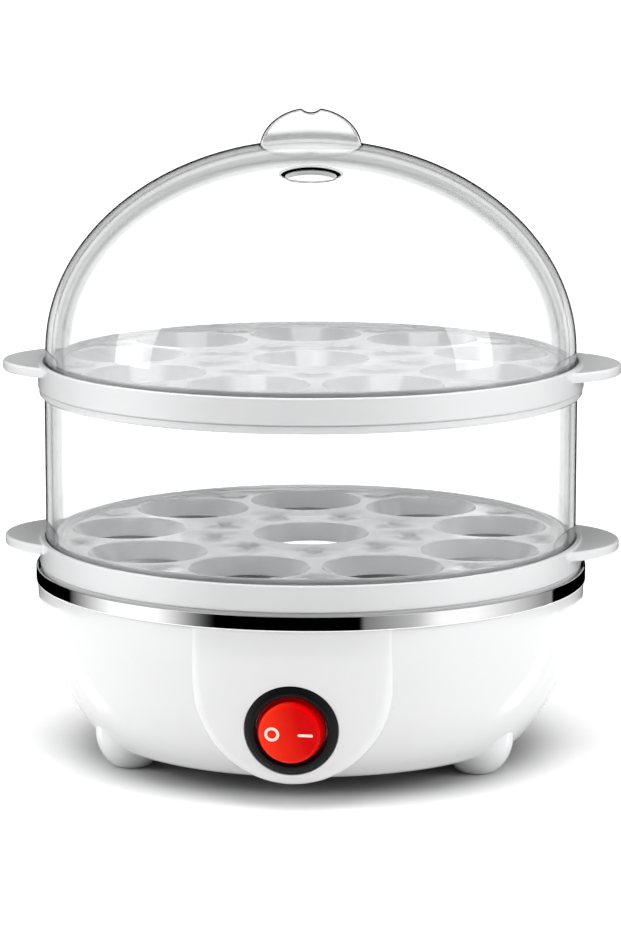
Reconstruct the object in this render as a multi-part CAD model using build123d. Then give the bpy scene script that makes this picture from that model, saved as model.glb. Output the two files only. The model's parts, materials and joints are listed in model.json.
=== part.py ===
from build123d import *
import os
from math import asin, atan2, cos, degrees, pi, radians, sin, sqrt, tan

# Two-tier electric egg boiler: a white bowl with a water dish and a round rocker switch,
# two lift-out egg trays, a clear middle wall and a clear domed lid with a finger tab.
# Millimetres. The origin is on the surface it stands on, under the middle of the bowl.
# +Z is up and the switch faces -Y.

# ---- Fits and clearances -----------------------------------------------------------
SEAT_GAP = 0.3            # between a lift-off piece and what it stands on
WALL_SLIP = 0.35          # between a clear wall and the sides of its groove
SHAFT_FIT = 0.05          # radial, pins and screws in their bores
SCREW_CLEAR = 0.2         # radial, screw shanks through plain holes
SWITCH_SLIP = 0.2         # radial, switch barrel in the bowl
ROCKER_SLIP = 0.6         # radial, rocker in the switch opening
PAD_SLIP = 0.1            # radial, rubber pads in the feet
COVER_SLIP = 0.3          # radial, bottom cover in its rebate
LID_SLIP = 0.75           # radial, lid in the upper tray's groove
DISH_SLIP = 0.5           # radial, water dish in the trim ring

# ---- Width ---------------------------------------------------------------------------
TRAY_R = 90.5             # outer band of the egg trays; the other rims follow from it
TRAY_LIP = 1.75           # wall outside the groove
GROOVE_WIDTH = 3.15
TRIM_STEP = 1.3           # trim ring outside the trays
TRIM_OVERHANG = 0.5       # trim ring outside the bowl
PANEL_SET_BACK = 0.3      # front panel's face behind the trim ring

# ---- Bowl --------------------------------------------------------------------------
BOWL_TOP_Z = 58.3
BOWL_BOTTOM_Z = 6.3
BOWL_ARC = 80.0           # radius of the turned side's arc
BOWL_ARC_Z = 59.0
BOWL_WALL = 2.4
BOWL_CORNER = 6.0         # rounding where the side meets the flat bottom
RIM_WIDTH = 4.7           # the thick rim that the trim ring sits on
RIM_DEPTH = 3.3

PANEL_ARC = 250.0         # the face leans in towards the bottom along this arc
PANEL_ROUND_R = 31.7      # radius of the panel's round lower end
PANEL_ROUND_Z = 39.2
PANEL_FLARE = 5.3         # degrees that each side opens towards the top
PANEL_EDGE = 2.6          # rounding of the panel's front edge
PANEL_DEPTH = 30.0        # how far in the panel's solid reaches before it is hollowed

# ---- Bottom cover ------------------------------------------------------------------
COVER_BORDER = 18.5       # bowl's flat bottom outside the cover
COVER_THICK = 2.2
COVER_LEDGE = 6.0         # width of the ledge that the cover lies against
COVER_SCREW_INSET = 3.2   # screws' pitch circle inside the cover's edge
COVER_BOSS_HEIGHT = 7.0
COVER_SCREW_COUNT = 4
VENT_SLOT_COUNT = 5
VENT_SLOT_LENGTH = 36.0
VENT_SLOT_WIDTH = 3.0
VENT_SLOT_PITCH = 9.0

# ---- Screws ------------------------------------------------------------------------
SCREW_R = 1.5
SCREW_HEAD_R = 2.8
SCREW_HEAD = 2.0
SCREW_CROSS_WIDTH = 0.8
SCREW_CROSS_DEPTH = 1.0
BOSS_WALL = 2.0           # plastic left around a screw

# ---- Feet --------------------------------------------------------------------------
FOOT_INSET = 26.0         # feet's pitch circle inside the trim ring
FOOT_FRONT_ANGLE = 60.0   # degrees from straight ahead to each front foot
FOOT_REAR_ANGLE = 135.0   # and to each rear foot
FOOT_R = 11.8
FOOT_TIP_R = 6.2
FOOT_ROUND_Z = 11.5       # height at which the rounded tip becomes straight
FOOT_TIP_Z = 0.4
PAD_R = 5.4
PAD_THICK = 1.4
FOOT_SCREW_LENGTH = 14.0
FOOT_BOSS_TOP_Z = 20.0

# ---- Trim ring and seal ------------------------------------------------------------
TRIM_TOP_Z = 63.1
TRIM_SHEET = 0.7
TRIM_LEG = 4.4            # inward leg under the seal
SEAL_THICK = 1.2
SEAL_WIDTH = 2.8

# ---- Water dish and heater ---------------------------------------------------------
DISH_FLANGE = 4.4
DISH_SHEET = 0.8
DISH_FLOOR_Z = 44.0
DISH_SIDE_RUN = 14.2      # how far the dish's side leans in
HEAT_ZONE_R = 44.0
HEAT_ZONE_DROP = 1.5
STUD_R = 2.5
STUD_LENGTH = 14.7
NUT_FLATS = 8.0
NUT_THICK = 4.0
POST_R = 3.5
POST_COUNT = 3
POST_THREAD = 11.0
ELEMENT_TUBE_R = 3.25
ELEMENT_RING_R = 34.0
ELEMENT_GAP = 24.0        # degrees from the rear to each end of the ring
ELEMENT_BEND = 5.0
ELEMENT_LEG_Z = 22.0
CLAMP_LENGTH = 76.0
CLAMP_WIDTH = 12.0
CLAMP_SHEET = 1.2
CLIP_WIDTH = 8.0
CLIP_SHEET = 1.0
SENSOR_OFFSET = 18.0      # thermostat behind the stud, thermal fuse in front of it
THERMOSTAT_CUP_R = 8.0
THERMOSTAT_CUP = 3.0
THERMOSTAT_BODY_R = 7.2
THERMOSTAT_BLADE_X = 5.5
THERMOSTAT_BLADE_Z = 26.0
FUSE_R = 2.5
FUSE_LENGTH = 16.0
BLADE_WIDTH = 4.0
BLADE_THICK = 0.8

# ---- Mains entry -------------------------------------------------------------------
GLAND_Z = 24.0
GLAND_BORE_R = 3.5
GLAND_BARREL_R = 5.8
GLAND_FLANGE_R = 7.6
GLAND_FLANGE = 2.5
GLAND_PAD_R = 10.0
GLAND_PAD_INSET = 4.6     # pad's face behind the trim ring
GLAND_GRIP = 12.2         # pad's face to the nut's seat
GLAND_LENGTH = 17.2       # pad's face to the barrel's inner end
GLAND_NUT_FLATS = 16.0
GLAND_NUT = 4.0
BLOCK_SIZE_X = 30.0
BLOCK_SIZE_Y = 12.0
BLOCK_SIZE_Z = 11.0
BLOCK_GAP = 1.6           # behind the terminal block, to the gland's barrel
BLOCK_WAY_PITCH = 10.0
BLOCK_ENTRY_Z = 5.5       # wire entry above the block's foot
BLOCK_ENTRY_R = 1.6
WIRE_R = 1.1

# ---- Switch ------------------------------------------------------------------------
SWITCH_Z = 26.0
SPOT_DEPTH = 2.0          # flat seat for the bezel, below the panel's face
SPOT_RIM = 0.15           # seat wider than the bezel by this much all round
BEZEL_R = 14.7
BEZEL_THICK = 2.5
BEZEL_CHAMFER = 1.5
BEZEL_OPENING_R = 11.55
BARREL_WALL = 1.35
BARREL_DEPTH = 20.0
WELL_DEPTH = 13.0
WELL_FLOOR = 2.0
PIVOT_DEPTH = 3.2         # rocker pivot behind the bezel's seat
PIN_R = 1.0
HUB_R = 2.6
HUB_LENGTH = 17.0
ROCKER_SKIRT_FROM = -2.5
ROCKER_SKIRT_TO = 0.3
ROCKER_FACE_R = 9.9
ROCKER_FACE_TO = 5.0
ROCKER_FACE_CHAMFER = 1.0
ROCKER_SWING = 4.0        # degrees each way; at rest the O side is pressed
MARK_OFFSET = 5.3
MARK_RING_R = 2.35
MARK_STROKE = 0.9
MARK_LENGTH = 4.8
MARK_DEPTH = 0.4
MARK_PROUD = 0.05
PLUNGER_R = 1.0
PLUNGER_LENGTH = 5.9
LEVER_DEPTH = 11.4
LEVER_LENGTH = 10.4
LEVER_WIDTH = 3.6
LEVER_THICK = 0.6
TERMINAL_PITCH = 4.3
TERMINAL_END = 24.0
TERMINAL_LOW_TOP = 12.5   # depth of the outer contacts' tops
TERMINAL_MID_TOP = 12.0
LAMP_R = 1.8
LAMP_TOP = 6.6
LAMP_OFFSET = 6.5

# ---- Egg trays ---------------------------------------------------------------------
TRAY_BAND = 8.5           # height of the outer band above its shadow line
TRAY_SKIRT = 11.4         # rim top down to the skirt's lower edge
TRAY_SKIRT_INSET = 0.4
TRAY_SHADOW_INSET = 0.8
TRAY_SHADOW = 0.4
TRAY_SKIRT_CHAMFER = 0.8
TRAY_SHEET = 1.8
TRAY_LIP_ROUND = 0.6
GROOVE_DEPTH = 5.0
RIDGE_HEIGHT = 1.2
RIDGE_WIDTH = 1.0
LEDGE_HEIGHT = 0.4
LEDGE_WIDTH = 1.2
FLOOR_DROP = 0.2
STEP_RUN = 0.6
RIB_DEPTH = 2.7
RIB_WIDTH = 1.5
EGG_RING_INSET = 28.5     # ring of egg seats inside the outer band
EGG_RING_COUNT = 9
EGG_TURN = 25.6           # degrees, first egg seat from straight ahead
EGG_HOLE_R = 19.5
EGG_SEAT_R = 15.5
EGG_CUP_DEPTH = 5.8
EGG_CUP_WALL = 1.4
EGG_HOLE_CHAMFER = 0.5
STEAM_R = 1.5
STEAM_DISH_R = 3.5
STEAM_DISH_DEPTH = 0.9
STEAM_OUTER_INSET = 13.5
STEAM_INNER_R = 33.0
EAR_LENGTH = 12.3         # beyond the outer band
EAR_ROUND_R = 28.8
EAR_DROP = 0.8
EAR_THICK = 3.3
EAR_EDGE = 0.8

# ---- Clear wall and lid ------------------------------------------------------------
CLEAR_WALL = 2.0
WALL_HEIGHT = 56.5
WALL_EDGE = 0.5
DOME_SKIRT = 7.7
DOME_RISE = 69.2
LID_TURN = 4.0            # degrees that the lid is turned on the upper tray
TAB_HALF_WIDTH = 16.9
TAB_RISE = 10.6           # above the top of the dome
TAB_ROOT = 3.2            # depth of the tab's centre below the top of the dome
TAB_FOOT_THICK = 9.0
TAB_TIP_THICK = 4.4
TAB_EDGE = 1.0
NOTCH_R = 4.5
NOTCH_DEPTH = 1.5
VENT_LENGTH = 16.7
VENT_WIDTH = 7.9
VENT_R = 40.7             # out from the axis, in front of the tab

# ---- Heights and radii worked out from the sizes above ------------------------------
TRIM_R = TRAY_R + TRIM_STEP
PANEL_TOP_R = TRIM_R - PANEL_SET_BACK
BOWL_ARC_R = TRIM_R - TRIM_OVERHANG - BOWL_ARC
COVER_R = BOWL_ARC_R + sqrt(BOWL_ARC ** 2 - (BOWL_ARC_Z - BOWL_BOTTOM_Z) ** 2) - COVER_BORDER
COVER_SCREW_R = COVER_R - COVER_SCREW_INSET
FOOT_PITCH_R = TRIM_R - FOOT_INSET
DISH_R = TRIM_R - TRIM_SHEET - DISH_SLIP
DISH_FLOOR_R = DISH_R - DISH_FLANGE - DISH_SIDE_RUN
GLAND_PAD_Y = TRIM_R - GLAND_PAD_INSET
GLAND_SEAT_Y = GLAND_PAD_Y - GLAND_GRIP
GLAND_END_Y = GLAND_PAD_Y - GLAND_LENGTH
BLOCK_FRONT_Y = GLAND_END_Y - BLOCK_GAP - BLOCK_SIZE_Y
GROOVE_OUTER_R = TRAY_R - TRAY_LIP
GROOVE_R = GROOVE_OUTER_R - GROOVE_WIDTH
WALL_R = GROOVE_OUTER_R - WALL_SLIP
DOME_R = GROOVE_OUTER_R - LID_SLIP
EGG_RING_R = TRAY_R - EGG_RING_INSET
STEAM_OUTER_R = TRAY_R - STEAM_OUTER_INSET
EAR_REACH = TRAY_R + EAR_LENGTH

TRIM_LEG_TOP_Z = BOWL_TOP_Z + TRIM_SHEET
DISH_TOP_Z = TRIM_LEG_TOP_Z + SEAL_THICK + DISH_SHEET
LOWER_LIP_Z = DISH_TOP_Z + SEAT_GAP + TRAY_SKIRT
WALL_BOTTOM_Z = LOWER_LIP_Z - GROOVE_DEPTH + SEAT_GAP
UPPER_LIP_Z = WALL_BOTTOM_Z + WALL_HEIGHT + SEAT_GAP + GROOVE_DEPTH + TRAY_SHEET
LID_BOTTOM_Z = UPPER_LIP_Z - GROOVE_DEPTH + SEAT_GAP
DOME_CENTRE_Z = LID_BOTTOM_Z + DOME_SKIRT
DOME_TOP_Z = DOME_CENTRE_Z + DOME_RISE
TAB_TOP_Z = DOME_TOP_Z + TAB_RISE

HEATER_Z = DISH_FLOOR_Z - HEAT_ZONE_DROP - DISH_SHEET
ELEMENT_Z = HEATER_Z - ELEMENT_TUBE_R
CLAMP_TOP_Z = ELEMENT_Z - ELEMENT_TUBE_R
CLIP_TOP_Z = CLAMP_TOP_Z - CLAMP_SHEET
NUT_TOP_Z = CLIP_TOP_Z - CLIP_SHEET
STUD_END_Z = HEATER_Z - STUD_LENGTH
FUSE_Z = HEATER_Z - FUSE_R

LEDGE_UNDER_Z = BOWL_BOTTOM_Z + COVER_THICK
LEDGE_TOP_Z = LEDGE_UNDER_Z + BOWL_WALL
POST_FOOT_Z = LEDGE_TOP_Z + SCREW_HEAD + 0.6
POST_TOP_Z = DISH_FLOOR_Z - DISH_SHEET


def bowl_radius(z, inset=0.0):
    """Radius of the bowl's side at a height, or of a surface that lies inside it."""
    return BOWL_ARC_R + sqrt((BOWL_ARC - inset) ** 2 - (BOWL_ARC_Z - z) ** 2)


def panel_radius(z):
    """Radius of the front panel's face at a height."""
    return PANEL_TOP_R - PANEL_ARC + sqrt(PANEL_ARC ** 2 - (BOWL_ARC_Z - z) ** 2)


PANEL_LEAN = degrees(asin((BOWL_ARC_Z - SWITCH_Z) / PANEL_ARC))
SWITCH_OUT = (0, -cos(radians(PANEL_LEAN)), -sin(radians(PANEL_LEAN)))
SWITCH_SEAT = Plane(
    origin=(
        0,
        -panel_radius(SWITCH_Z) - SPOT_DEPTH * SWITCH_OUT[1],
        SWITCH_Z - SPOT_DEPTH * SWITCH_OUT[2],
    ),
    x_dir=(1, 0, 0),
    z_dir=SWITCH_OUT,
)
BARREL_R = BEZEL_OPENING_R + BARREL_WALL
ROCKER_SKIRT_R = BEZEL_OPENING_R - ROCKER_SLIP


# ---- Helpers -----------------------------------------------------------------------
def turned(*edges):
    """Solid of revolution about Z from edges drawn as radius and height."""
    return revolve(Plane.XZ * make_face(Curve() + list(edges)), Axis.Z)


def turned_polygon(points):
    """Solid of revolution about Z from a closed outline of radius and height."""
    return revolve(Plane.XZ * make_face(Polyline(*points, close=True)), Axis.Z)


def post(radius, bottom, top, x=0.0, y=0.0):
    """Upright cylinder between two heights."""
    return Pos(x, y, bottom) * Cylinder(radius, top - bottom, align=BASE)


def ring(outer, inner, bottom, top, x=0.0, y=0.0):
    """Upright tube between two heights."""
    return post(outer, bottom, top, x, y) - post(inner, bottom, top, x, y)


def on_circle(radius, angle):
    """Point at an angle from straight ahead (-Y), turning towards +X."""
    return radius * sin(radians(angle)), -radius * cos(radians(angle))


def circle_edges(solid, radius, height):
    """Level round edges of a radius at a height about the Z axis."""
    return [
        edge
        for edge in solid.edges().filter_by(GeomType.CIRCLE)
        if abs(edge.radius - radius) < 0.01 and abs(edge.center().Z - height) < 0.01
    ]


def screw(head_height, length):
    """Cross-head screw about Z: its shank rises from the seat at zero and its head hangs below."""
    head = Pos(0, 0, -head_height) * Cylinder(SCREW_HEAD_R, head_height, align=BASE)
    head = fillet(circle_edges(head, SCREW_HEAD_R, -head_height), head_height / 3)
    slot = Box(SCREW_HEAD_R * 1.1, SCREW_CROSS_WIDTH, SCREW_CROSS_DEPTH, align=BASE)
    cross = Pos(0, 0, -head_height) * (slot + Rot(0, 0, 90) * slot)
    return head + Cylinder(SCREW_R, length, align=BASE) - cross


def wire(points):
    """Round wire along straight runs that are joined by the largest arcs the runs allow."""
    corners = [Vector(*point) for point in points]
    runs = [b - a for a, b in zip(corners, corners[1:])]
    radii = [
        0.45 * min(a.length, b.length) / tan(radians(a.get_angle(b)) / 2)
        for a, b in zip(runs, runs[1:])
    ]
    print("wire bends", [round(radius, 1) for radius in radii])
    path = FilletPolyline(*corners, radius=radii)
    section = Plane(origin=corners[0], z_dir=runs[0]) * Circle(WIRE_R)
    return sweep(section, path)


BASE = (Align.CENTER, Align.CENTER, Align.MIN)
TOP = (Align.CENTER, Align.CENTER, Align.MAX)


# ---- Bowl, cover and feet ----------------------------------------------------------
def bowl_outside():
    """The bowl's outer form, solid, with its rounded bottom corner."""
    low_r = bowl_radius(BOWL_BOTTOM_Z)
    middle_z = (BOWL_TOP_Z + BOWL_BOTTOM_Z) / 2
    side = ThreePointArc(
        (bowl_radius(BOWL_TOP_Z), BOWL_TOP_Z),
        (bowl_radius(middle_z), middle_z),
        (low_r, BOWL_BOTTOM_Z),
    )
    rest = Polyline(
        (low_r, BOWL_BOTTOM_Z),
        (0, BOWL_BOTTOM_Z),
        (0, BOWL_TOP_Z),
        (bowl_radius(BOWL_TOP_Z), BOWL_TOP_Z),
    )
    solid = turned(side, rest)
    return fillet(circle_edges(solid, low_r, BOWL_BOTTOM_Z), BOWL_CORNER)


def bowl_inside():
    """The bowl's hollow, from the ledge round the bottom cover up to the rim."""
    middle_z = (BOWL_TOP_Z + LEDGE_TOP_Z) / 2
    side = ThreePointArc(
        (bowl_radius(BOWL_TOP_Z, BOWL_WALL), BOWL_TOP_Z),
        (bowl_radius(middle_z, BOWL_WALL), middle_z),
        (bowl_radius(LEDGE_TOP_Z, BOWL_WALL), LEDGE_TOP_Z),
    )
    rest = Polyline(
        (bowl_radius(LEDGE_TOP_Z, BOWL_WALL), LEDGE_TOP_Z),
        (0, LEDGE_TOP_Z),
        (0, BOWL_TOP_Z),
        (bowl_radius(BOWL_TOP_Z, BOWL_WALL), BOWL_TOP_Z),
    )
    return turned(side, rest)


def panel_outline():
    """Tongue outline of the front panel in X and Z: flared sides and a round lower end."""
    flare = radians(PANEL_FLARE)
    side_x = PANEL_ROUND_R * cos(flare)
    side_z = PANEL_ROUND_Z - PANEL_ROUND_R * sin(flare)
    top_x = side_x + (BOWL_TOP_Z - side_z) * tan(flare)
    low_z = PANEL_ROUND_Z - PANEL_ROUND_R
    sides = Polyline((-side_x, side_z), (-top_x, BOWL_TOP_Z), (top_x, BOWL_TOP_Z), (side_x, side_z))
    return make_face(sides + ThreePointArc((side_x, side_z), (0, low_z), (-side_x, side_z)))


def panel():
    """Raised front panel that carries the switch, with its rounded front edge."""
    low_z = PANEL_ROUND_Z - PANEL_ROUND_R - 1
    middle_z = (BOWL_TOP_Z + low_z) / 2
    face = ThreePointArc(
        (panel_radius(BOWL_TOP_Z), BOWL_TOP_Z),
        (panel_radius(middle_z), middle_z),
        (panel_radius(low_z), low_z),
    )
    inner_r = PANEL_TOP_R - PANEL_DEPTH
    rest = Polyline(
        (panel_radius(low_z), low_z),
        (inner_r, low_z),
        (inner_r, BOWL_TOP_Z),
        (panel_radius(BOWL_TOP_Z), BOWL_TOP_Z),
    )
    prism = extrude(Plane.XZ * panel_outline(), amount=2 * PANEL_TOP_R)
    solid = turned(face, rest) & prism
    front = solid.faces().sort_by(Axis.Y)[0]
    edges = [edge for edge in front.edges() if edge.center().Z < BOWL_TOP_Z - 0.5]
    return fillet(edges, PANEL_EDGE)


def foot_places():
    """Axes of the four feet, in X and Y."""
    places = {}
    for name, angle in (
        ("front_left", -FOOT_FRONT_ANGLE),
        ("front_right", FOOT_FRONT_ANGLE),
        ("rear_left", -FOOT_REAR_ANGLE),
        ("rear_right", FOOT_REAR_ANGLE),
    ):
        places[name] = on_circle(FOOT_PITCH_R, angle)
    return places


def cover_screw_places():
    """Axes of the bottom cover's screws."""
    step = 360 / COVER_SCREW_COUNT
    return [on_circle(COVER_SCREW_R, step * (i + 0.5)) for i in range(COVER_SCREW_COUNT)]


def dish_post_places():
    """Axes of the posts that hold the water dish down, one of them at +X."""
    return [on_circle(COVER_SCREW_R, 90 + 360 / POST_COUNT * i) for i in range(POST_COUNT)]


def along_y(radius, front, back, z):
    """Level cylinder along Y between two places, at a height."""
    return Pos(0, front, z) * Rot(-90, 0, 0) * Cylinder(radius, back - front, align=BASE)


def body_bosses():
    """Screw bosses inside the bowl for the cover, the dish's posts and the feet."""
    bosses = [
        post(SCREW_R + BOSS_WALL, LEDGE_UNDER_Z, LEDGE_TOP_Z + COVER_BOSS_HEIGHT, x, y)
        for x, y in cover_screw_places()
    ]
    bosses += [
        post(SCREW_HEAD_R + BOSS_WALL, LEDGE_UNDER_Z, POST_FOOT_Z, x, y)
        for x, y in dish_post_places()
    ]
    bosses += [
        post(SCREW_HEAD_R + BOSS_WALL / 2, LEDGE_TOP_Z, FOOT_BOSS_TOP_Z, x, y)
        & bowl_outside()
        for x, y in foot_places().values()
    ]
    return bosses


def body_holes():
    """Screw holes and their counterbores in the bowl."""
    pilot_top = LEDGE_TOP_Z + COVER_BOSS_HEIGHT - BOSS_WALL / 2
    holes = [
        post(SCREW_R + SHAFT_FIT, LEDGE_UNDER_Z, pilot_top, x, y) for x, y in cover_screw_places()
    ]
    for x, y in dish_post_places():
        holes.append(post(SCREW_R + SCREW_CLEAR, LEDGE_UNDER_Z, POST_FOOT_Z, x, y))
        holes.append(
            post(SCREW_HEAD_R + SCREW_CLEAR, LEDGE_UNDER_Z, LEDGE_UNDER_Z + SCREW_HEAD, x, y)
        )
    holes += [
        post(SCREW_R + SCREW_CLEAR, BOWL_BOTTOM_Z, FOOT_BOSS_TOP_Z, x, y)
        for x, y in foot_places().values()
    ]
    return holes


def body_shell():
    """White bowl with its panel, screw bosses, ledge for the cover and gland pad."""
    shell = bowl_outside() - bowl_inside()
    shell -= post(COVER_R - COVER_LEDGE, BOWL_BOTTOM_Z, LEDGE_TOP_Z)
    shell -= post(COVER_R + COVER_SLIP, BOWL_BOTTOM_Z, LEDGE_UNDER_Z)
    shell += ring(
        bowl_radius(BOWL_TOP_Z - RIM_DEPTH),
        bowl_radius(BOWL_TOP_Z) - RIM_WIDTH,
        BOWL_TOP_Z - RIM_DEPTH,
        BOWL_TOP_Z,
    )
    shell += panel() - bowl_inside()
    shell += along_y(GLAND_PAD_R, GLAND_SEAT_Y, GLAND_PAD_Y, GLAND_Z)
    shell = shell + body_bosses()
    shell = shell - body_holes()
    shell -= along_y(GLAND_BARREL_R + SWITCH_SLIP, GLAND_SEAT_Y, GLAND_PAD_Y, GLAND_Z)
    shell -= along_y(GLAND_NUT_FLATS / sqrt(3) + COVER_SLIP, GLAND_END_Y, GLAND_SEAT_Y, GLAND_Z)
    shell -= SWITCH_SEAT * Cylinder(BEZEL_R + SPOT_RIM, 2 * SPOT_DEPTH, align=BASE)
    shell -= SWITCH_SEAT * Cylinder(BARREL_R + SWITCH_SLIP, BARREL_DEPTH, align=TOP)
    return shell


def bottom_cover():
    """Flat cover under the bowl, with vent slots and screw holes."""
    cover = post(COVER_R, BOWL_BOTTOM_Z, LEDGE_UNDER_Z)
    for x, y in cover_screw_places():
        cover -= post(SCREW_R + SCREW_CLEAR, BOWL_BOTTOM_Z, LEDGE_UNDER_Z, x, y)
    for i in range(VENT_SLOT_COUNT):
        x = (i - (VENT_SLOT_COUNT - 1) / 2) * VENT_SLOT_PITCH
        slot = SlotOverall(VENT_SLOT_LENGTH, VENT_SLOT_WIDTH, rotation=90)
        cover -= Pos(x, 0, BOWL_BOTTOM_Z) * extrude(slot, amount=COVER_THICK)
    return fillet(circle_edges(cover, COVER_R, BOWL_BOTTOM_Z), COVER_THICK / 4)


def cover_screws():
    """Screws up through the bottom cover into the bowl's bosses."""
    length = COVER_THICK + COVER_BOSS_HEIGHT
    return Compound([
        Pos(x, y, BOWL_BOTTOM_Z) * screw(SCREW_HEAD * 0.8, length) for x, y in cover_screw_places()
    ])


def foot(x, y):
    """Rounded white foot, cut to the bowl above and recessed for its pad below."""
    rise = FOOT_ROUND_Z - FOOT_TIP_Z
    run = FOOT_R - FOOT_TIP_R
    arc_r = (rise ** 2 + run ** 2) / (2 * run)
    half = atan2(rise, arc_r - run) / 2
    middle = (FOOT_R - arc_r + arc_r * cos(half), FOOT_ROUND_Z - arc_r * sin(half))
    tip = ThreePointArc((FOOT_R, FOOT_ROUND_Z), middle, (FOOT_TIP_R, FOOT_TIP_Z))
    top_z = BOWL_TOP_Z / 2
    rest = Polyline(
        (FOOT_TIP_R, FOOT_TIP_Z), (0, FOOT_TIP_Z), (0, top_z), (FOOT_R, top_z), (FOOT_R, FOOT_ROUND_Z)
    )
    solid = Pos(x, y, 0) * turned(tip, rest) - bowl_outside()
    solid -= post(PAD_R + PAD_SLIP, 0, PAD_THICK, x, y)
    screw_end = FOOT_BOSS_TOP_Z - FOOT_SCREW_LENGTH
    solid -= post(SCREW_R + SHAFT_FIT, screw_end, FOOT_BOSS_TOP_Z, x, y)
    low = [part for part in solid.solids() if part.center().Z < BOWL_TOP_Z / 2]
    return max(low, key=lambda part: part.volume)


def foot_pad(x, y):
    """Rubber disc under a foot."""
    pad = post(PAD_R, 0, PAD_THICK, x, y)
    edge = pad.edges().filter_by(GeomType.CIRCLE).sort_by(Axis.Z)[0]
    return fillet(edge, PAD_THICK / 5)


def foot_screws():
    """Screws down through the bowl's bosses into the feet."""
    return Compound([
        Pos(x, y, FOOT_BOSS_TOP_Z) * Rot(180, 0, 0) * screw(SCREW_HEAD, FOOT_SCREW_LENGTH)
        for x, y in foot_places().values()
    ])


# ---- Trim ring, seal and water dish --------------------------------------------------
def trim_ring():
    """Bright metal ring with an inward leg that lies on the bowl's rim."""
    inner = TRIM_R - TRIM_SHEET
    solid = turned_polygon([
        (TRIM_R, BOWL_TOP_Z),
        (TRIM_R, TRIM_TOP_Z),
        (inner, TRIM_TOP_Z),
        (inner, TRIM_LEG_TOP_Z),
        (inner - TRIM_LEG, TRIM_LEG_TOP_Z),
        (inner - TRIM_LEG, BOWL_TOP_Z),
    ])
    return fillet(circle_edges(solid, TRIM_R, TRIM_TOP_Z), TRIM_SHEET / 2.5)


def dish_seal():
    """Soft ring between the trim ring's leg and the dish's flange."""
    return ring(DISH_R - 0.2, DISH_R - 0.2 - SEAL_WIDTH, TRIM_LEG_TOP_Z, DISH_TOP_Z - DISH_SHEET)


def heating_dish():
    """Stainless water dish with its heating zone and the welded stud under it."""
    zone_top = DISH_FLOOR_Z - HEAT_ZONE_DROP
    under = DISH_SHEET
    mouth_r = DISH_R - DISH_FLANGE
    top_line = [
        (DISH_R, DISH_TOP_Z),
        (mouth_r, DISH_TOP_Z),
        (DISH_FLOOR_R, DISH_FLOOR_Z),
        (HEAT_ZONE_R + HEAT_ZONE_DROP, DISH_FLOOR_Z),
        (HEAT_ZONE_R, zone_top),
        (0, zone_top),
    ]
    low_line = [
        (0, HEATER_Z),
        (HEAT_ZONE_R + under / 2, HEATER_Z),
        (HEAT_ZONE_R + HEAT_ZONE_DROP + under / 2, DISH_FLOOR_Z - under),
        (DISH_FLOOR_R + under / 2, DISH_FLOOR_Z - under),
        (mouth_r + under / 2, DISH_TOP_Z - under),
        (DISH_R, DISH_TOP_Z - under),
    ]
    return turned_polygon(top_line + low_line) + post(STUD_R, STUD_END_Z, HEATER_Z)


def dish_posts():
    """Threaded posts welded under the dish."""
    posts = []
    for x, y in dish_post_places():
        bored = post(POST_R, POST_FOOT_Z, POST_TOP_Z, x, y)
        bored -= post(SCREW_R + SHAFT_FIT, POST_FOOT_Z, POST_FOOT_Z + POST_THREAD, x, y)
        posts.append(bored)
    return Compound(posts)


def dish_screws():
    """Screws up through the bowl's ledge into the dish's posts."""
    seat_z = LEDGE_UNDER_Z + SCREW_HEAD
    length = POST_FOOT_Z - seat_z + POST_THREAD - 1
    return Compound([
        Pos(x, y, seat_z) * screw(SCREW_HEAD - 0.1, length) for x, y in dish_post_places()
    ])


# ---- Heater ------------------------------------------------------------------------
def element_end(side):
    """Where a leg of the heating element comes down, side -1 left or 1 right."""
    angle = radians(90 - side * ELEMENT_GAP)
    return ELEMENT_RING_R * cos(angle), ELEMENT_RING_R * sin(angle)


def heating_element():
    """Sheathed ring element that lies against the dish, with two legs turned down."""
    legs = []
    for side in (-1, 1):
        x, y = element_end(side)
        along = Vector(-y * side, x * side, 0).normalized()
        corner = Vector(x, y, ELEMENT_Z)
        low = Vector(x, y, ELEMENT_Z - ELEMENT_BEND) + along * ELEMENT_BEND
        middle = (
            Vector(x, y, ELEMENT_Z - ELEMENT_BEND)
            + along * (ELEMENT_BEND * sin(pi / 4))
            + Vector(0, 0, ELEMENT_BEND * cos(pi / 4))
        )
        bend = ThreePointArc(corner, middle, low)
        leg = Line(low, Vector(low.X, low.Y, ELEMENT_LEG_Z))
        legs.append((bend, leg))
    left, right = element_end(-1), element_end(1)
    front = (0, -ELEMENT_RING_R, ELEMENT_Z)
    loop = ThreePointArc((*left, ELEMENT_Z), front, (*right, ELEMENT_Z))
    path = Wire([legs[0][1], legs[0][0], loop, legs[1][0], legs[1][1]])
    start = legs[0][1] @ 1
    section = Plane(origin=start, z_dir=(0, 0, 1)) * Circle(ELEMENT_TUBE_R)
    return sweep(section, path)


def element_leg_place(side):
    """Lower end of an element leg, after its bend."""
    x, y = element_end(side)
    along = Vector(-y * side, x * side, 0).normalized()
    return x + along.X * ELEMENT_BEND, y + along.Y * ELEMENT_BEND, ELEMENT_LEG_Z


def element_clamp():
    """Steel bar across the ring element, held by the stud."""
    bar = Pos(0, 0, CLAMP_TOP_Z) * Box(CLAMP_LENGTH, CLAMP_WIDTH, CLAMP_SHEET, align=TOP)
    bar = fillet(bar.edges().filter_by(Axis.Z), CLAMP_WIDTH / 4)
    return bar - post(STUD_R + SCREW_CLEAR, NUT_TOP_Z, CLAMP_TOP_Z)


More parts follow.
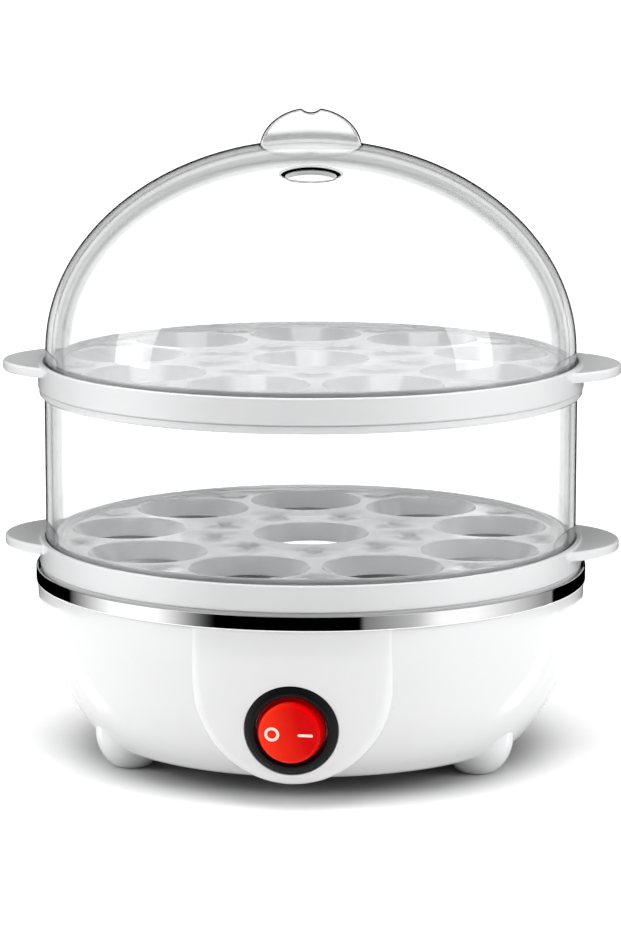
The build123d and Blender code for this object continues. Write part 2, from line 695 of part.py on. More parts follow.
def sensor_clip():
    """Springy strip that presses the thermostat and the fuse against the dish."""
    fuse_top = FUSE_Z - FUSE_R
    bend_y = -CLAMP_WIDTH / 2 - 2
    rear_y = SENSOR_OFFSET + THERMOSTAT_BODY_R
    front_y = -SENSOR_OFFSET - FUSE_R
    slope_y = bend_y - (fuse_top - CLIP_TOP_Z)
    upper = [(rear_y, CLIP_TOP_Z), (bend_y, CLIP_TOP_Z), (slope_y, fuse_top), (front_y, fuse_top)]
    lower = [(y, z - CLIP_SHEET) for y, z in reversed(upper)]
    outline = make_face(Polyline(*upper, *lower, close=True))
    strip = extrude(Plane.YZ * outline, amount=CLIP_WIDTH / 2, both=True)
    return strip - post(STUD_R + SCREW_CLEAR, NUT_TOP_Z, CLAMP_TOP_Z)


def clamp_nut():
    """Hexagon nut on the stud."""
    hexagon = RegularPolygon(NUT_FLATS / 2, 6, major_radius=False)
    nut = Pos(0, 0, NUT_TOP_Z - NUT_THICK) * extrude(hexagon, amount=NUT_THICK)
    return nut - post(STUD_R + SHAFT_FIT, NUT_TOP_Z - NUT_THICK, NUT_TOP_Z)


def thermostat_cup():
    """Aluminium cup of the thermostat, flat against the dish."""
    cup = post(THERMOSTAT_CUP_R, HEATER_Z - THERMOSTAT_CUP, HEATER_Z, 0, SENSOR_OFFSET)
    edge = cup.edges().filter_by(GeomType.CIRCLE).sort_by(Axis.Z)[0]
    return fillet(edge, THERMOSTAT_CUP / 6)


def thermostat_body():
    """Moulded body of the thermostat."""
    return post(THERMOSTAT_BODY_R, CLIP_TOP_Z, HEATER_Z - THERMOSTAT_CUP, 0, SENSOR_OFFSET)


def thermostat_blades():
    """Two terminals that come down from the thermostat beside its clip."""
    blade = Box(BLADE_THICK, BLADE_WIDTH, CLIP_TOP_Z - THERMOSTAT_BLADE_Z, align=TOP)
    return Compound([
        Pos(side * THERMOSTAT_BLADE_X, SENSOR_OFFSET, CLIP_TOP_Z) * blade for side in (-1, 1)
    ])


def thermal_fuse():
    """Sleeved thermal fuse lying across the front of the clip."""
    sleeve = Pos(0, -SENSOR_OFFSET, FUSE_Z) * Rot(0, 90, 0) * Cylinder(FUSE_R, FUSE_LENGTH)
    return fillet(sleeve.edges().filter_by(GeomType.CIRCLE), FUSE_R / 5)


# ---- Mains entry and wires -----------------------------------------------------------
def cord_gland():
    """Flanged bushing in the back of the bowl."""
    outer_y = GLAND_PAD_Y + GLAND_FLANGE
    flange = along_y(GLAND_FLANGE_R, GLAND_PAD_Y, outer_y, GLAND_Z)
    flange = fillet(flange.edges().filter_by(GeomType.CIRCLE).sort_by(Axis.Y)[-1], GLAND_FLANGE / 3)
    barrel = along_y(GLAND_BARREL_R, GLAND_END_Y, GLAND_PAD_Y, GLAND_Z)
    return barrel + flange - along_y(GLAND_BORE_R, GLAND_END_Y, outer_y, GLAND_Z)


def gland_nut():
    """Hexagon nut that pulls the gland against the bowl."""
    hexagon = RegularPolygon(GLAND_NUT_FLATS / 2, 6, major_radius=False)
    nut = extrude(hexagon - Circle(GLAND_BARREL_R + SHAFT_FIT), amount=GLAND_NUT)
    return Pos(0, GLAND_SEAT_Y - GLAND_NUT, GLAND_Z) * Rot(-90, 0, 0) * nut


def block_way_x(way):
    """Middle of a way of the terminal block, way -1, 0 or 1."""
    return way * BLOCK_WAY_PITCH


def terminal_block():
    """Three-way block on the bowl's ledge, with wire entries front and back."""
    centre_y = BLOCK_FRONT_Y + BLOCK_SIZE_Y / 2
    block = Pos(0, centre_y, LEDGE_TOP_Z) * Box(BLOCK_SIZE_X, BLOCK_SIZE_Y, BLOCK_SIZE_Z, align=BASE)
    for way in (-1, 0, 1):
        x = block_way_x(way)
        entry = Cylinder(BLOCK_ENTRY_R, BLOCK_SIZE_Y / 4, align=BASE)
        back = Pos(x, centre_y + BLOCK_SIZE_Y / 4, LEDGE_TOP_Z + BLOCK_ENTRY_Z)
        block -= back * Rot(-90, 0, 0) * entry
        top_z = LEDGE_TOP_Z + BLOCK_SIZE_Z
        block -= post(SCREW_HEAD_R, top_z - SCREW_HEAD, top_z, x, centre_y)
    return block


def terminal_screws():
    """Clamp screws sunk in the top of the terminal block."""
    centre_y = BLOCK_FRONT_Y + BLOCK_SIZE_Y / 2
    seat_z = LEDGE_TOP_Z + BLOCK_SIZE_Z - SCREW_HEAD
    head = Cylinder(SCREW_HEAD_R - SHAFT_FIT, SCREW_HEAD / 2, align=BASE)
    slot = Pos(0, 0, SCREW_HEAD / 4) * Box(SCREW_HEAD_R * 2, SCREW_CROSS_WIDTH, SCREW_HEAD / 4, align=BASE)
    return Compound([
        Pos(block_way_x(way), centre_y, seat_z) * (head - slot) for way in (-1, 0, 1)
    ])


def switch_blade_end(side):
    """Middle of the end of a switch terminal, side -1, 0 or 1."""
    return (SWITCH_SEAT * Pos(side * TERMINAL_PITCH, 0, -TERMINAL_END)).position


def block_entry(way):
    """Where a wire meets the front of the terminal block."""
    return block_way_x(way), BLOCK_FRONT_Y, LEDGE_TOP_Z + BLOCK_ENTRY_Z


def live_wire():
    """From the terminal block round the right of the heater to the switch."""
    end = switch_blade_end(1)
    before = end - Vector(*SWITCH_OUT) * 14
    return wire([
        block_entry(1), (10, 45, 16.4), (29, 31, 14), (41, 9, 14), (41, -15, 15),
        (28, -36, 19), (13, -44, 27), before, end,
    ])


def switched_wire():
    """From the switch back to the thermostat."""
    start = switch_blade_end(0)
    after = start - Vector(*SWITCH_OUT) * 12
    x = THERMOSTAT_BLADE_X
    return wire([
        start, after, (3, -38, 23), (8, -22, 16), (8, -4, 13), (x, SENSOR_OFFSET, 11.5),
        (x, SENSOR_OFFSET, THERMOSTAT_BLADE_Z),
    ])


def heater_wire():
    """From the thermostat to the left leg of the heating element."""
    x, y, z = element_leg_place(-1)
    return wire([
        (-THERMOSTAT_BLADE_X, SENSOR_OFFSET, THERMOSTAT_BLADE_Z),
        (-THERMOSTAT_BLADE_X, SENSOR_OFFSET, 14),
        (x, y, 13),
        (x, y, z),
    ])


def fuse_wire():
    """From the right leg of the heating element to the thermal fuse."""
    x, y, z = element_leg_place(1)
    return wire([
        (x, y, z), (x, y, 12), (18, 20, 13), (22, 6, 17), (24, -6, 24), (22, -14, 32),
        (19, -SENSOR_OFFSET, FUSE_Z), (FUSE_LENGTH / 2, -SENSOR_OFFSET, FUSE_Z),
    ])


def neutral_wire():
    """From the thermal fuse back to the terminal block."""
    return wire([
        (-FUSE_LENGTH / 2, -SENSOR_OFFSET, FUSE_Z), (-19, -SENSOR_OFFSET, FUSE_Z),
        (-22, -14, 32), (-24, -6, 24), (-25, 8, 18), (-22, 28, 15), (-10, 43, 16.4), block_entry(-1),
    ])


def earth_wire():
    """From the terminal block to the foot of the dish's stud."""
    return wire([
        block_entry(0), (0, 43, 16.4), (-1, 28, 12), (-1, 14, 11), (0, 0, 12), (0, 0, STUD_END_Z)
    ])


# ---- Switch ------------------------------------------------------------------------
def rocker_turn():
    """Turn about the pivot that puts the rocker in its resting position, O side in."""
    pivot = Pos(0, 0, -PIVOT_DEPTH)
    return pivot * Rot(0, -ROCKER_SWING, 0) * pivot.inverse()


def switch_housing():
    """Black bezel and barrel with the well that the rocker swings in."""
    bezel = Cylinder(BEZEL_R, BEZEL_THICK, align=BASE)
    bezel = chamfer(circle_edges(bezel, BEZEL_R, BEZEL_THICK), BEZEL_CHAMFER * 0.6, BEZEL_CHAMFER)
    body = bezel + Cylinder(BARREL_R, BARREL_DEPTH, align=TOP)
    body -= Pos(0, 0, BEZEL_THICK) * Cylinder(BEZEL_OPENING_R, BEZEL_THICK + WELL_DEPTH, align=TOP)
    back = Pos(0, 0, -WELL_DEPTH - WELL_FLOOR)
    body -= back * Cylinder(BEZEL_OPENING_R, BARREL_DEPTH - WELL_DEPTH - WELL_FLOOR, align=TOP)
    pin_hole = Rot(90, 0, 0) * Cylinder(PIN_R + SHAFT_FIT, 2 * BARREL_R - BARREL_WALL)
    body -= Pos(0, 0, -PIVOT_DEPTH) * pin_hole
    for side in (-1, 0, 1):
        slot = Box(BLADE_THICK + 2 * SHAFT_FIT, BLADE_WIDTH + 2 * SHAFT_FIT, TERMINAL_END, align=TOP)
        body -= Pos(side * TERMINAL_PITCH, 0, -WELL_DEPTH + 1) * slot
    return SWITCH_SEAT * body


def rocker_pivot_pin():
    """Steel pin that the rocker swings on."""
    length = 2 * BARREL_R - BARREL_WALL - 0.2
    return SWITCH_SEAT * Pos(0, 0, -PIVOT_DEPTH) * Rot(90, 0, 0) * Cylinder(PIN_R, length)


def mark_solids(depth, proud):
    """The ring mark and the bar mark on the rocker's face."""
    base = Pos(0, 0, ROCKER_FACE_TO - depth)
    circle = Circle(MARK_RING_R) - Circle(MARK_RING_R - MARK_STROKE)
    bar = SlotOverall(MARK_LENGTH, MARK_STROKE)
    return [
        base * Pos(-MARK_OFFSET, 0, 0) * extrude(circle, amount=depth + proud),
        base * Pos(MARK_OFFSET, 0, 0) * extrude(bar, amount=depth + proud),
    ]


def switch_rocker():
    """Red translucent rocker with a raised round face, a skirt and a bored hub."""
    skirt = Pos(0, 0, ROCKER_SKIRT_FROM) * Cylinder(
        ROCKER_SKIRT_R, ROCKER_SKIRT_TO - ROCKER_SKIRT_FROM, align=BASE
    )
    raised = Cylinder(ROCKER_FACE_R, ROCKER_FACE_TO, align=BASE)
    raised = chamfer(circle_edges(raised, ROCKER_FACE_R, ROCKER_FACE_TO), ROCKER_FACE_CHAMFER)
    hub = Pos(0, 0, -PIVOT_DEPTH) * Rot(90, 0, 0) * Cylinder(HUB_R, HUB_LENGTH)
    solid = skirt + raised + hub
    bore = Rot(90, 0, 0) * Cylinder(PIN_R + SHAFT_FIT, 2 * BEZEL_OPENING_R)
    solid -= Pos(0, 0, -PIVOT_DEPTH) * bore
    for mark in mark_solids(MARK_DEPTH, MARK_PROUD):
        solid -= mark
    return SWITCH_SEAT * rocker_turn() * solid


def rocker_marks():
    """Pale O and I marks set into the rocker's face."""
    return Compound([SWITCH_SEAT * rocker_turn() * mark for mark in mark_solids(MARK_DEPTH, MARK_PROUD)])


def rocker_plunger():
    """Small plunger under the rocker's hub that tips the contact lever."""
    top = PIVOT_DEPTH + HUB_R
    solid = Pos(0, 0, -top) * Cylinder(PLUNGER_R, PLUNGER_LENGTH - PLUNGER_R, align=TOP)
    tip = min(solid.edges().filter_by(GeomType.CIRCLE), key=lambda edge: edge.center().Z)
    return SWITCH_SEAT * rocker_turn() * fillet(tip, PLUNGER_R * 0.9)


def contact_lever():
    """Brass lever that tips the opposite way to the rocker on the middle terminal."""
    pivot = Pos(0, 0, -LEVER_DEPTH)
    plate = Box(LEVER_LENGTH, LEVER_WIDTH, LEVER_THICK)
    return SWITCH_SEAT * pivot * Rot(0, ROCKER_SWING, 0) * plate


def switch_terminals():
    """Three brass blades through the floor of the switch."""
    blades = []
    for side in (-1, 0, 1):
        top = TERMINAL_MID_TOP if side == 0 else TERMINAL_LOW_TOP
        blade = Box(BLADE_THICK, BLADE_WIDTH, TERMINAL_END - top, align=TOP)
        blades.append(SWITCH_SEAT * Pos(side * TERMINAL_PITCH, 0, -top) * blade)
    return Compound(blades)


def neon_lamp():
    """Glow lamp that stands on the floor of the well behind the rocker."""
    bulb = Pos(0, -LAMP_OFFSET, -WELL_DEPTH) * Cylinder(LAMP_R, WELL_DEPTH - LAMP_TOP, align=BASE)
    top = max(bulb.edges().filter_by(GeomType.CIRCLE), key=lambda edge: edge.center().Z)
    return SWITCH_SEAT * fillet(top, LAMP_R * 0.8)


# ---- Egg trays ---------------------------------------------------------------------
def egg_seats():
    """Centres of the egg seats: one in the middle and a ring around it."""
    step = 360 / EGG_RING_COUNT
    return [(0, 0)] + [on_circle(EGG_RING_R, EGG_TURN + step * i) for i in range(EGG_RING_COUNT)]


def steam_holes():
    """Centres of the steam holes, between the egg seats in two rings."""
    step = 360 / EGG_RING_COUNT
    angles = [EGG_TURN + step * (i + 0.5) for i in range(EGG_RING_COUNT)]
    return [on_circle(radius, angle) for radius in (STEAM_OUTER_R, STEAM_INNER_R) for angle in angles]


def tray_section():
    """Half section of a tray from its outer band to the axis; zero height is the rim's top."""
    groove_floor = -GROOVE_DEPTH
    groove_under = groove_floor - TRAY_SHEET
    shadow_r = TRAY_R - TRAY_SHADOW_INSET
    skirt_r = TRAY_R - TRAY_SKIRT_INSET
    ridge_r = GROOVE_R - RIDGE_WIDTH
    ledge_r = ridge_r - STEP_RUN
    floor_r = ledge_r - LEDGE_WIDTH
    rib_r = WALL_R - CLEAR_WALL - WALL_SLIP
    inner_r = GROOVE_R - TRAY_SHEET
    return [
        (TRAY_R, -TRAY_BAND),
        (TRAY_R, 0),
        (GROOVE_OUTER_R, 0),
        (GROOVE_OUTER_R, groove_floor),
        (GROOVE_R, groove_floor),
        (GROOVE_R, RIDGE_HEIGHT),
        (ridge_r, RIDGE_HEIGHT),
        (ledge_r, LEDGE_HEIGHT),
        (floor_r, LEDGE_HEIGHT),
        (floor_r - STEP_RUN, -FLOOR_DROP),
        (0, -FLOOR_DROP),
        (0, -FLOOR_DROP - TRAY_SHEET),
        (inner_r, -FLOOR_DROP - TRAY_SHEET),
        (inner_r, groove_under - RIB_DEPTH + RIB_WIDTH / 2),
        (rib_r - RIB_WIDTH, groove_under - RIB_DEPTH),
        (rib_r, groove_under - RIB_DEPTH),
        (rib_r, groove_under),
        (GROOVE_OUTER_R, groove_under),
        (GROOVE_OUTER_R, -TRAY_SKIRT),
        (skirt_r - TRAY_SKIRT_CHAMFER, -TRAY_SKIRT),
        (skirt_r, -TRAY_SKIRT + TRAY_SKIRT_CHAMFER),
        (skirt_r, -TRAY_BAND - TRAY_SHADOW),
        (shadow_r, -TRAY_BAND - TRAY_SHADOW),
        (shadow_r, -TRAY_BAND),
    ]


def tray_ear(side):
    """Finger ear on one side of a tray, side -1 or 1."""
    centre_x = side * (EAR_REACH - EAR_ROUND_R)
    disc = Pos(centre_x, 0, -EAR_DROP - EAR_THICK) * Cylinder(EAR_ROUND_R, EAR_THICK, align=BASE)
    disc = fillet(disc.edges().filter_by(GeomType.CIRCLE), EAR_EDGE)
    return disc - post((TRAY_R + GROOVE_OUTER_R) / 2, -TRAY_SKIRT, RIDGE_HEIGHT)


def egg_tray(lip_z):
    """White tray with its grooved rim, egg seats, steam holes and ears."""
    tray = turned_polygon(tray_section())
    tray = fillet(circle_edges(tray, TRAY_R, 0), TRAY_LIP_ROUND)
    cup_z = -FLOOR_DROP - EGG_CUP_DEPTH
    lean = (EGG_HOLE_R - EGG_SEAT_R) / EGG_CUP_DEPTH
    hole_height = EGG_CUP_DEPTH + 2
    cups = [
        Pos(x, y, cup_z)
        * Cone(EGG_SEAT_R + EGG_CUP_WALL, EGG_HOLE_R + EGG_CUP_WALL, EGG_CUP_DEPTH, align=BASE)
        for x, y in egg_seats()
    ]
    holes = []
    for x, y in egg_seats():
        top_r = EGG_SEAT_R + lean * hole_height
        holes.append(Pos(x, y, cup_z) * Cone(EGG_SEAT_R, top_r, hole_height, align=BASE))
        bevel_r = EGG_HOLE_R - lean * EGG_HOLE_CHAMFER
        bevel = Cone(bevel_r, EGG_HOLE_R + EGG_HOLE_CHAMFER, EGG_HOLE_CHAMFER, align=TOP)
        holes.append(Pos(x, y, -FLOOR_DROP) * bevel)
    for x, y in steam_holes():
        dish = Cone(STEAM_R, STEAM_DISH_R, STEAM_DISH_DEPTH, align=TOP)
        holes.append(Pos(x, y, -FLOOR_DROP) * dish)
        holes.append(post(STEAM_R, -FLOOR_DROP - TRAY_SHEET, -FLOOR_DROP, x, y))
    tray = tray + cups + [tray_ear(-1), tray_ear(1)]
    tray = tray - holes
    return Pos(0, 0, lip_z) * tray


# ---- Clear wall and lid ------------------------------------------------------------
def clear_wall():
    """Clear tube between the two trays."""
    inner = WALL_R - CLEAR_WALL
    top_z = WALL_BOTTOM_Z + WALL_HEIGHT
    tube = ring(WALL_R, inner, WALL_BOTTOM_Z, top_z)
    edges = []
    for radius in (WALL_R, inner):
        for height in (WALL_BOTTOM_Z, top_z):
            edges += circle_edges(tube, radius, height)
    return fillet(edges, WALL_EDGE)


def dome_form(inset):
    """Solid dome: a straight skirt under half an ellipse, drawn inwards by the inset."""
    radius = DOME_R - inset
    rise = DOME_RISE - inset
    quarter = EllipticalCenterArc((0, DOME_CENTRE_Z), radius, rise, start_angle=0, arc_size=90)
    rest = Polyline(
        (0, DOME_CENTRE_Z + rise), (0, LID_BOTTOM_Z), (radius, LID_BOTTOM_Z), (radius, DOME_CENTRE_Z)
    )
    return turned(quarter, rest)


def lid_tab():
    """Finger tab: a half ellipse from the front that thins from its foot to its tip."""
    root_z = DOME_TOP_Z - TAB_ROOT
    outline = Ellipse(TAB_HALF_WIDTH, TAB_TOP_Z - root_z)
    notch = Pos(0, TAB_TOP_Z - root_z - NOTCH_DEPTH + NOTCH_R) * Circle(NOTCH_R)
    front_view = Plane.XZ.offset(-TAB_FOOT_THICK) * Pos(0, root_z) * (outline - notch)
    plate = extrude(front_view, amount=2 * TAB_FOOT_THICK)
    foot_y = TAB_FOOT_THICK / 2
    tip_y = TAB_TIP_THICK / 2
    side_view = make_face(Polyline(
        (-foot_y, root_z), (foot_y, root_z), (tip_y, TAB_TOP_Z), (-tip_y, TAB_TOP_Z), close=True
    ))
    wedge = extrude(Plane.YZ * side_view, amount=2 * TAB_HALF_WIDTH, both=True)
    return plate & wedge


def lid_dome():
    """Clear domed lid with its finger tab and the oval steam vent."""
    outside = dome_form(0)
    tab = lid_tab()
    rims = [edge for edge in tab.edges() if edge.center().Z > DOME_TOP_Z - TAB_ROOT + 0.5]
    tab = fillet(rims, TAB_EDGE)
    lid = outside + tab - dome_form(CLEAR_WALL)
    slope = DOME_RISE / DOME_R * VENT_R / sqrt(DOME_R ** 2 - VENT_R ** 2)
    vent_z = DOME_CENTRE_Z + DOME_RISE * sqrt(1 - (VENT_R / DOME_R) ** 2)
    vent = extrude(Ellipse(VENT_LENGTH / 2, VENT_WIDTH / 2), amount=3 * CLEAR_WALL, both=True)
    lid -= Pos(0, -VENT_R, vent_z) * Rot(degrees(atan2(slope, 1)), 0, 0) * vent
    return Rot(0, 0, LID_TURN) * lid


# ---- Assembly ------------------------------------------------------------------------
def make_parts():
    """Every node of the egg boiler by name."""
    parts = {
        "body_shell": body_shell(),
        "bottom_cover": bottom_cover(),
        "cover_screws": cover_screws(),
        "foot_screws": foot_screws(),
        "trim_ring": trim_ring(),
        "dish_seal": dish_seal(),
        "heating_dish": heating_dish(),
        "dish_posts": dish_posts(),
        "dish_screws": dish_screws(),
        "heating_element": heating_element(),
        "element_clamp": element_clamp(),
        "sensor_clip": sensor_clip(),
        "clamp_nut": clamp_nut(),
        "thermostat_cup": thermostat_cup(),
        "thermostat_body": thermostat_body(),
        "thermostat_blades": thermostat_blades(),
        "thermal_fuse": thermal_fuse(),
        "terminal_block": terminal_block(),
        "terminal_screws": terminal_screws(),
        "cord_gland": cord_gland(),
        "gland_nut": gland_nut(),
        "live_wire": live_wire(),
        "switched_wire": switched_wire(),
        "heater_wire": heater_wire(),
        "fuse_wire": fuse_wire(),
        "neutral_wire": neutral_wire(),
        "earth_wire": earth_wire(),
        "switch_housing": switch_housing(),
        "rocker_pivot_pin": rocker_pivot_pin(),
        "switch_rocker": switch_rocker(),
        "rocker_marks": rocker_marks(),
        "rocker_plunger": rocker_plunger(),
        "contact_lever": contact_lever(),
        "switch_terminals": switch_terminals(),
        "neon_lamp": neon_lamp(),
        "lower_egg_tray": egg_tray(LOWER_LIP_Z),
        "clear_wall": clear_wall(),
        "upper_egg_tray": egg_tray(UPPER_LIP_Z),
        "lid_dome": lid_dome(),
    }
    for name, (x, y) in foot_places().items():
        parts[f"{name}_foot"] = foot(x, y)
        parts[f"{name}_foot_pad"] = foot_pad(x, y)
    return parts


os.makedirs("parts", exist_ok=True)
for node, shape in make_parts().items():
    export_step(shape, os.path.join("parts", f"{node}.step"))
    print(node, round(shape.volume, 1))
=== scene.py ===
import json
import math

import bmesh
import bpy
import numpy as np
from bpy.props import FloatProperty, FloatVectorProperty
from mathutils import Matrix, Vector
from mathutils.geometry import delaunay_2d_cdt


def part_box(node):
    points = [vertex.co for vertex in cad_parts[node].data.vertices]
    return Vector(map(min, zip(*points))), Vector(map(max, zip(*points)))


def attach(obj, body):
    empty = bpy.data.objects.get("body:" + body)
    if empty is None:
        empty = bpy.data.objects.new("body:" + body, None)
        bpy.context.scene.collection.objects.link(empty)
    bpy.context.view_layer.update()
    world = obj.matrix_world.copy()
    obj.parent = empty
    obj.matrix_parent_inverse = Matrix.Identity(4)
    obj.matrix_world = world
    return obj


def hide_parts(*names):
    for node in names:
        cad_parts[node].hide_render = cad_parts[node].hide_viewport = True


bl_info = {
    "name": "Egg Boiler Looks",
    "version": (1, 0, 0),
    "blender": (4, 5, 0),
    "location": "3D View > Sidebar > Egg Boiler",
    "description": "Builds the visible surfaces and finishes of a two-tier electric egg boiler",
    "category": "Object",
}

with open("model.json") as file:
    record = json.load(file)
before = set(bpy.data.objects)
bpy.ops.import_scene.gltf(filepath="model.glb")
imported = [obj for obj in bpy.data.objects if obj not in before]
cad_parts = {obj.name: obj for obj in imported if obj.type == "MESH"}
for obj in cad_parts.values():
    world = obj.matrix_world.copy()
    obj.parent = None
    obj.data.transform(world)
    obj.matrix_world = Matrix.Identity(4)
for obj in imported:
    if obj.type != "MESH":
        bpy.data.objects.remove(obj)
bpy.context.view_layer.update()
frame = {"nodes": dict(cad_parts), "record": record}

MM = 0.001
TAU = 2 * math.pi
TURN = 240                # steps around the large rims
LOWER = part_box("lower_egg_tray")
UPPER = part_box("upper_egg_tray")
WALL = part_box("clear_wall")
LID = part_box("lid_dome")
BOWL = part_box("body_shell")
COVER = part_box("bottom_cover")
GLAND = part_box("cord_gland")
RIDGE = 1.2 * MM          # the groove's inner ridge is the highest part of a tray
ARC_Z = BOWL[1][2] + 0.7 * MM   # height at which the bowl's side stands upright
BOWL_ARC = 80 * MM        # radius of the arc that the bowl's side follows
BOWL_ARC_X = 11.3 * MM    # that arc's centre, out from the axis
PANEL_ARC = 250 * MM      # the front panel leans in towards the bottom along this arc
PANEL_TOP = 91.5 * MM     # the panel's distance from the axis at its top
FLOOR_EDGE = 82.2 * MM    # where a tray's floor meets its rim, above
UNDER_EDGE = 83.8 * MM    # and underneath
SEAT_TURN = 25.6          # degrees from the front to the first egg seat of the ring
SEAT_PITCH = 40.0         # and from one seat to the next
HOLE_TURN = 45.6          # degrees from the front to the first steam hole of each ring
HOLE_RINGS = (77.0 * MM, 33.0 * MM)
HOLE_R = 1.5 * MM         # radius of a steam hole
DIMPLE_R = 3.5 * MM       # and of the dimple round it
SWITCH_SEAT_R = 14.85 * MM   # radius of the switch's seat in the panel
VIEW_TURN = 4.0           # the camera, the vent and the tab stand this many degrees round

# The stage's bright floor strips, and its cards: angles round the ring, in degrees.
STRIP, STRIP_X = 2.2, 0.130
CARD_R = 0.26
LEFT_OUT, LEFT_FADE, LEFT_IN = 101.5, 29.0, (-61.0, -32.0)
RIGHT_IN, RIGHT_CORE = (16.0, 18.5), (33.0, 46.5)
RIGHT_FADE, RIGHT_OUT = (60.0, 96.0), (100.5, 102.5)


# ---- Surfaces ------------------------------------------------------------------------
def rounded(corners, radius, steps=5, closed=True):
    """Outline with each corner rounded: between a point a before the corner c and a point b after
    it runs the parabola (1-s)^2 a + 2s(1-s) c + s^2 b, and one more point lies on each straight
    side next to it so that flat faces stay flat. Radius is one number or one for each corner."""
    corners = np.asarray(corners, float)
    before = np.roll(corners, 1, axis=0) - corners
    after = np.roll(corners, -1, axis=0) - corners
    reach_before = np.linalg.norm(before, axis=1)
    reach_after = np.linalg.norm(after, axis=1)
    before /= reach_before[:, None]
    after /= reach_after[:, None]
    cosine = np.clip((before * after).sum(1), -0.9999, 0.9999)
    half = np.arccos(cosine) / 2
    cut = np.broadcast_to(np.asarray(radius, float), len(corners)) / np.tan(half)
    cut = np.minimum(cut, 0.4 * np.minimum(reach_before, reach_after))
    a = corners + before * cut[:, None]
    b = corners + after * cut[:, None]
    s = np.linspace(0, 1, steps)[None, :, None]
    bend = (1 - s) ** 2 * a[:, None] + 2 * s * (1 - s) * corners[:, None] + s ** 2 * b[:, None]
    far_a = corners + before * (cut * 1.2)[:, None]
    far_b = corners + after * (cut * 1.2)[:, None]
    path = np.concatenate([far_a[:, None], bend, far_b[:, None]], axis=1)
    if not closed:
        path[0] = corners[0]
        path[-1] = corners[-1]
    return path.reshape(-1, 2)


def revolve(outline, steps=TURN, centre=(0.0, 0.0)):
    """Surface of revolution: x = r sin a, y = -r cos a, z = z for an outline of r and z."""
    outline = np.asarray(outline, float)
    a = np.arange(steps) / steps * TAU
    x = centre[0] + outline[:, :1] * np.sin(a)
    y = centre[1] - outline[:, :1] * np.cos(a)
    z = np.broadcast_to(outline[:, 1:], x.shape)
    return np.stack([x, y, z], axis=-1)


def grid(points, wrap_rows=False, wrap_cols=False):
    """Vertices and four-sided faces of a rows by columns grid of points."""
    rows, cols = points.shape[:2]
    i = np.arange(rows if wrap_rows else rows - 1)
    j = np.arange(cols if wrap_cols else cols - 1)
    i, j = np.meshgrid(i, j, indexing="ij")
    k, m = (i + 1) % rows, (j + 1) % cols
    faces = np.stack([i * cols + j, k * cols + j, k * cols + m, i * cols + m], axis=-1)
    return points.reshape(-1, 3), faces.reshape(-1, 4)


def turned(outline, steps=TURN, centre=(0.0, 0.0), closed=False):
    """Vertices and faces of a surface of revolution; closed when its outline is a loop."""
    return grid(revolve(outline, steps, centre), wrap_rows=closed, wrap_cols=True)


def sheet_with_holes(outer, holes, z):
    """Flat sheet between an outer loop and the loops of its holes, at one height."""
    loops = [np.asarray(outer, float)] + [np.asarray(hole, float) for hole in holes]
    flat = np.concatenate(loops)
    edges, start = [], 0
    for loop in loops:
        index = np.arange(len(loop))
        edges.append(np.stack([start + index, start + (index + 1) % len(loop)], axis=1))
        start += len(loop)
    edges = np.concatenate(edges)
    made = delaunay_2d_cdt([Vector(p) for p in flat], edges.tolist(), [], 0, 1e-9)
    points = np.array([tuple(p) for p in made[0]])
    faces = np.array(made[2])
    middle = points[faces].mean(1)
    keep = inside(middle, loops[0])
    for hole in loops[1:]:
        keep &= ~inside(middle, hole)
    lifted = np.column_stack([points, np.full(len(points), z)])
    return lifted, faces[keep]


def inside(points, loop):
    """Whether points lie in a closed loop, by the count of its edges that a ray crosses."""
    a, b = loop, np.roll(loop, -1, axis=0)
    y = points[:, 1:2]
    crosses = (a[:, 1] > y) != (b[:, 1] > y)
    rise = np.where(b[:, 1] == a[:, 1], 1e-12, b[:, 1] - a[:, 1])
    x = a[:, 0] + (y - a[:, 1]) / rise * (b[:, 0] - a[:, 0])
    return (crosses & (points[:, :1] < x)).sum(1) % 2 == 1


def circle(radius, steps, x=0.0, y=0.0):
    """Loop of points on a circle, starting straight ahead (-Y) and turning towards +X."""
    a = np.arange(steps) / steps * TAU
    return np.stack([x + radius * np.sin(a), y - radius * np.cos(a)], axis=1)


def piece(name, shells, body, slot, *nodes, finish=None, sharp=35.0):
    """Mesh object from shells of vertices and faces, merged where they meet, faces outwards. It
    stands in for the named nodes and has its slot's finish unless another is named."""
    vertices, faces, start = [], [], 0
    for points, polygons in shells:
        vertices.append(np.asarray(points, float).reshape(-1, 3))
        faces += (np.asarray(polygons) + start).tolist()
        start += len(vertices[-1])
    mesh = bpy.data.meshes.new(name)
    mesh.from_pydata(np.concatenate(vertices).tolist(), [], faces)
    form = bmesh.new()
    form.from_mesh(mesh)
    bmesh.ops.remove_doubles(form, verts=form.verts, dist=2e-6)
    bmesh.ops.dissolve_degenerate(form, edges=form.edges, dist=1e-8)
    bmesh.ops.recalc_face_normals(form, faces=form.faces)
    form.to_mesh(mesh)
    form.free()
    mesh.polygons.foreach_set("use_smooth", np.ones(len(mesh.polygons), bool))
    mesh.set_sharp_from_angle(angle=math.radians(sharp))
    mesh.materials.append(FINISHES[finish or slot])
    made = bpy.data.objects.new(name, mesh)
    bpy.context.scene.collection.objects.link(made)
    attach(made, body)
    if nodes:
        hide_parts(*nodes)
    return made


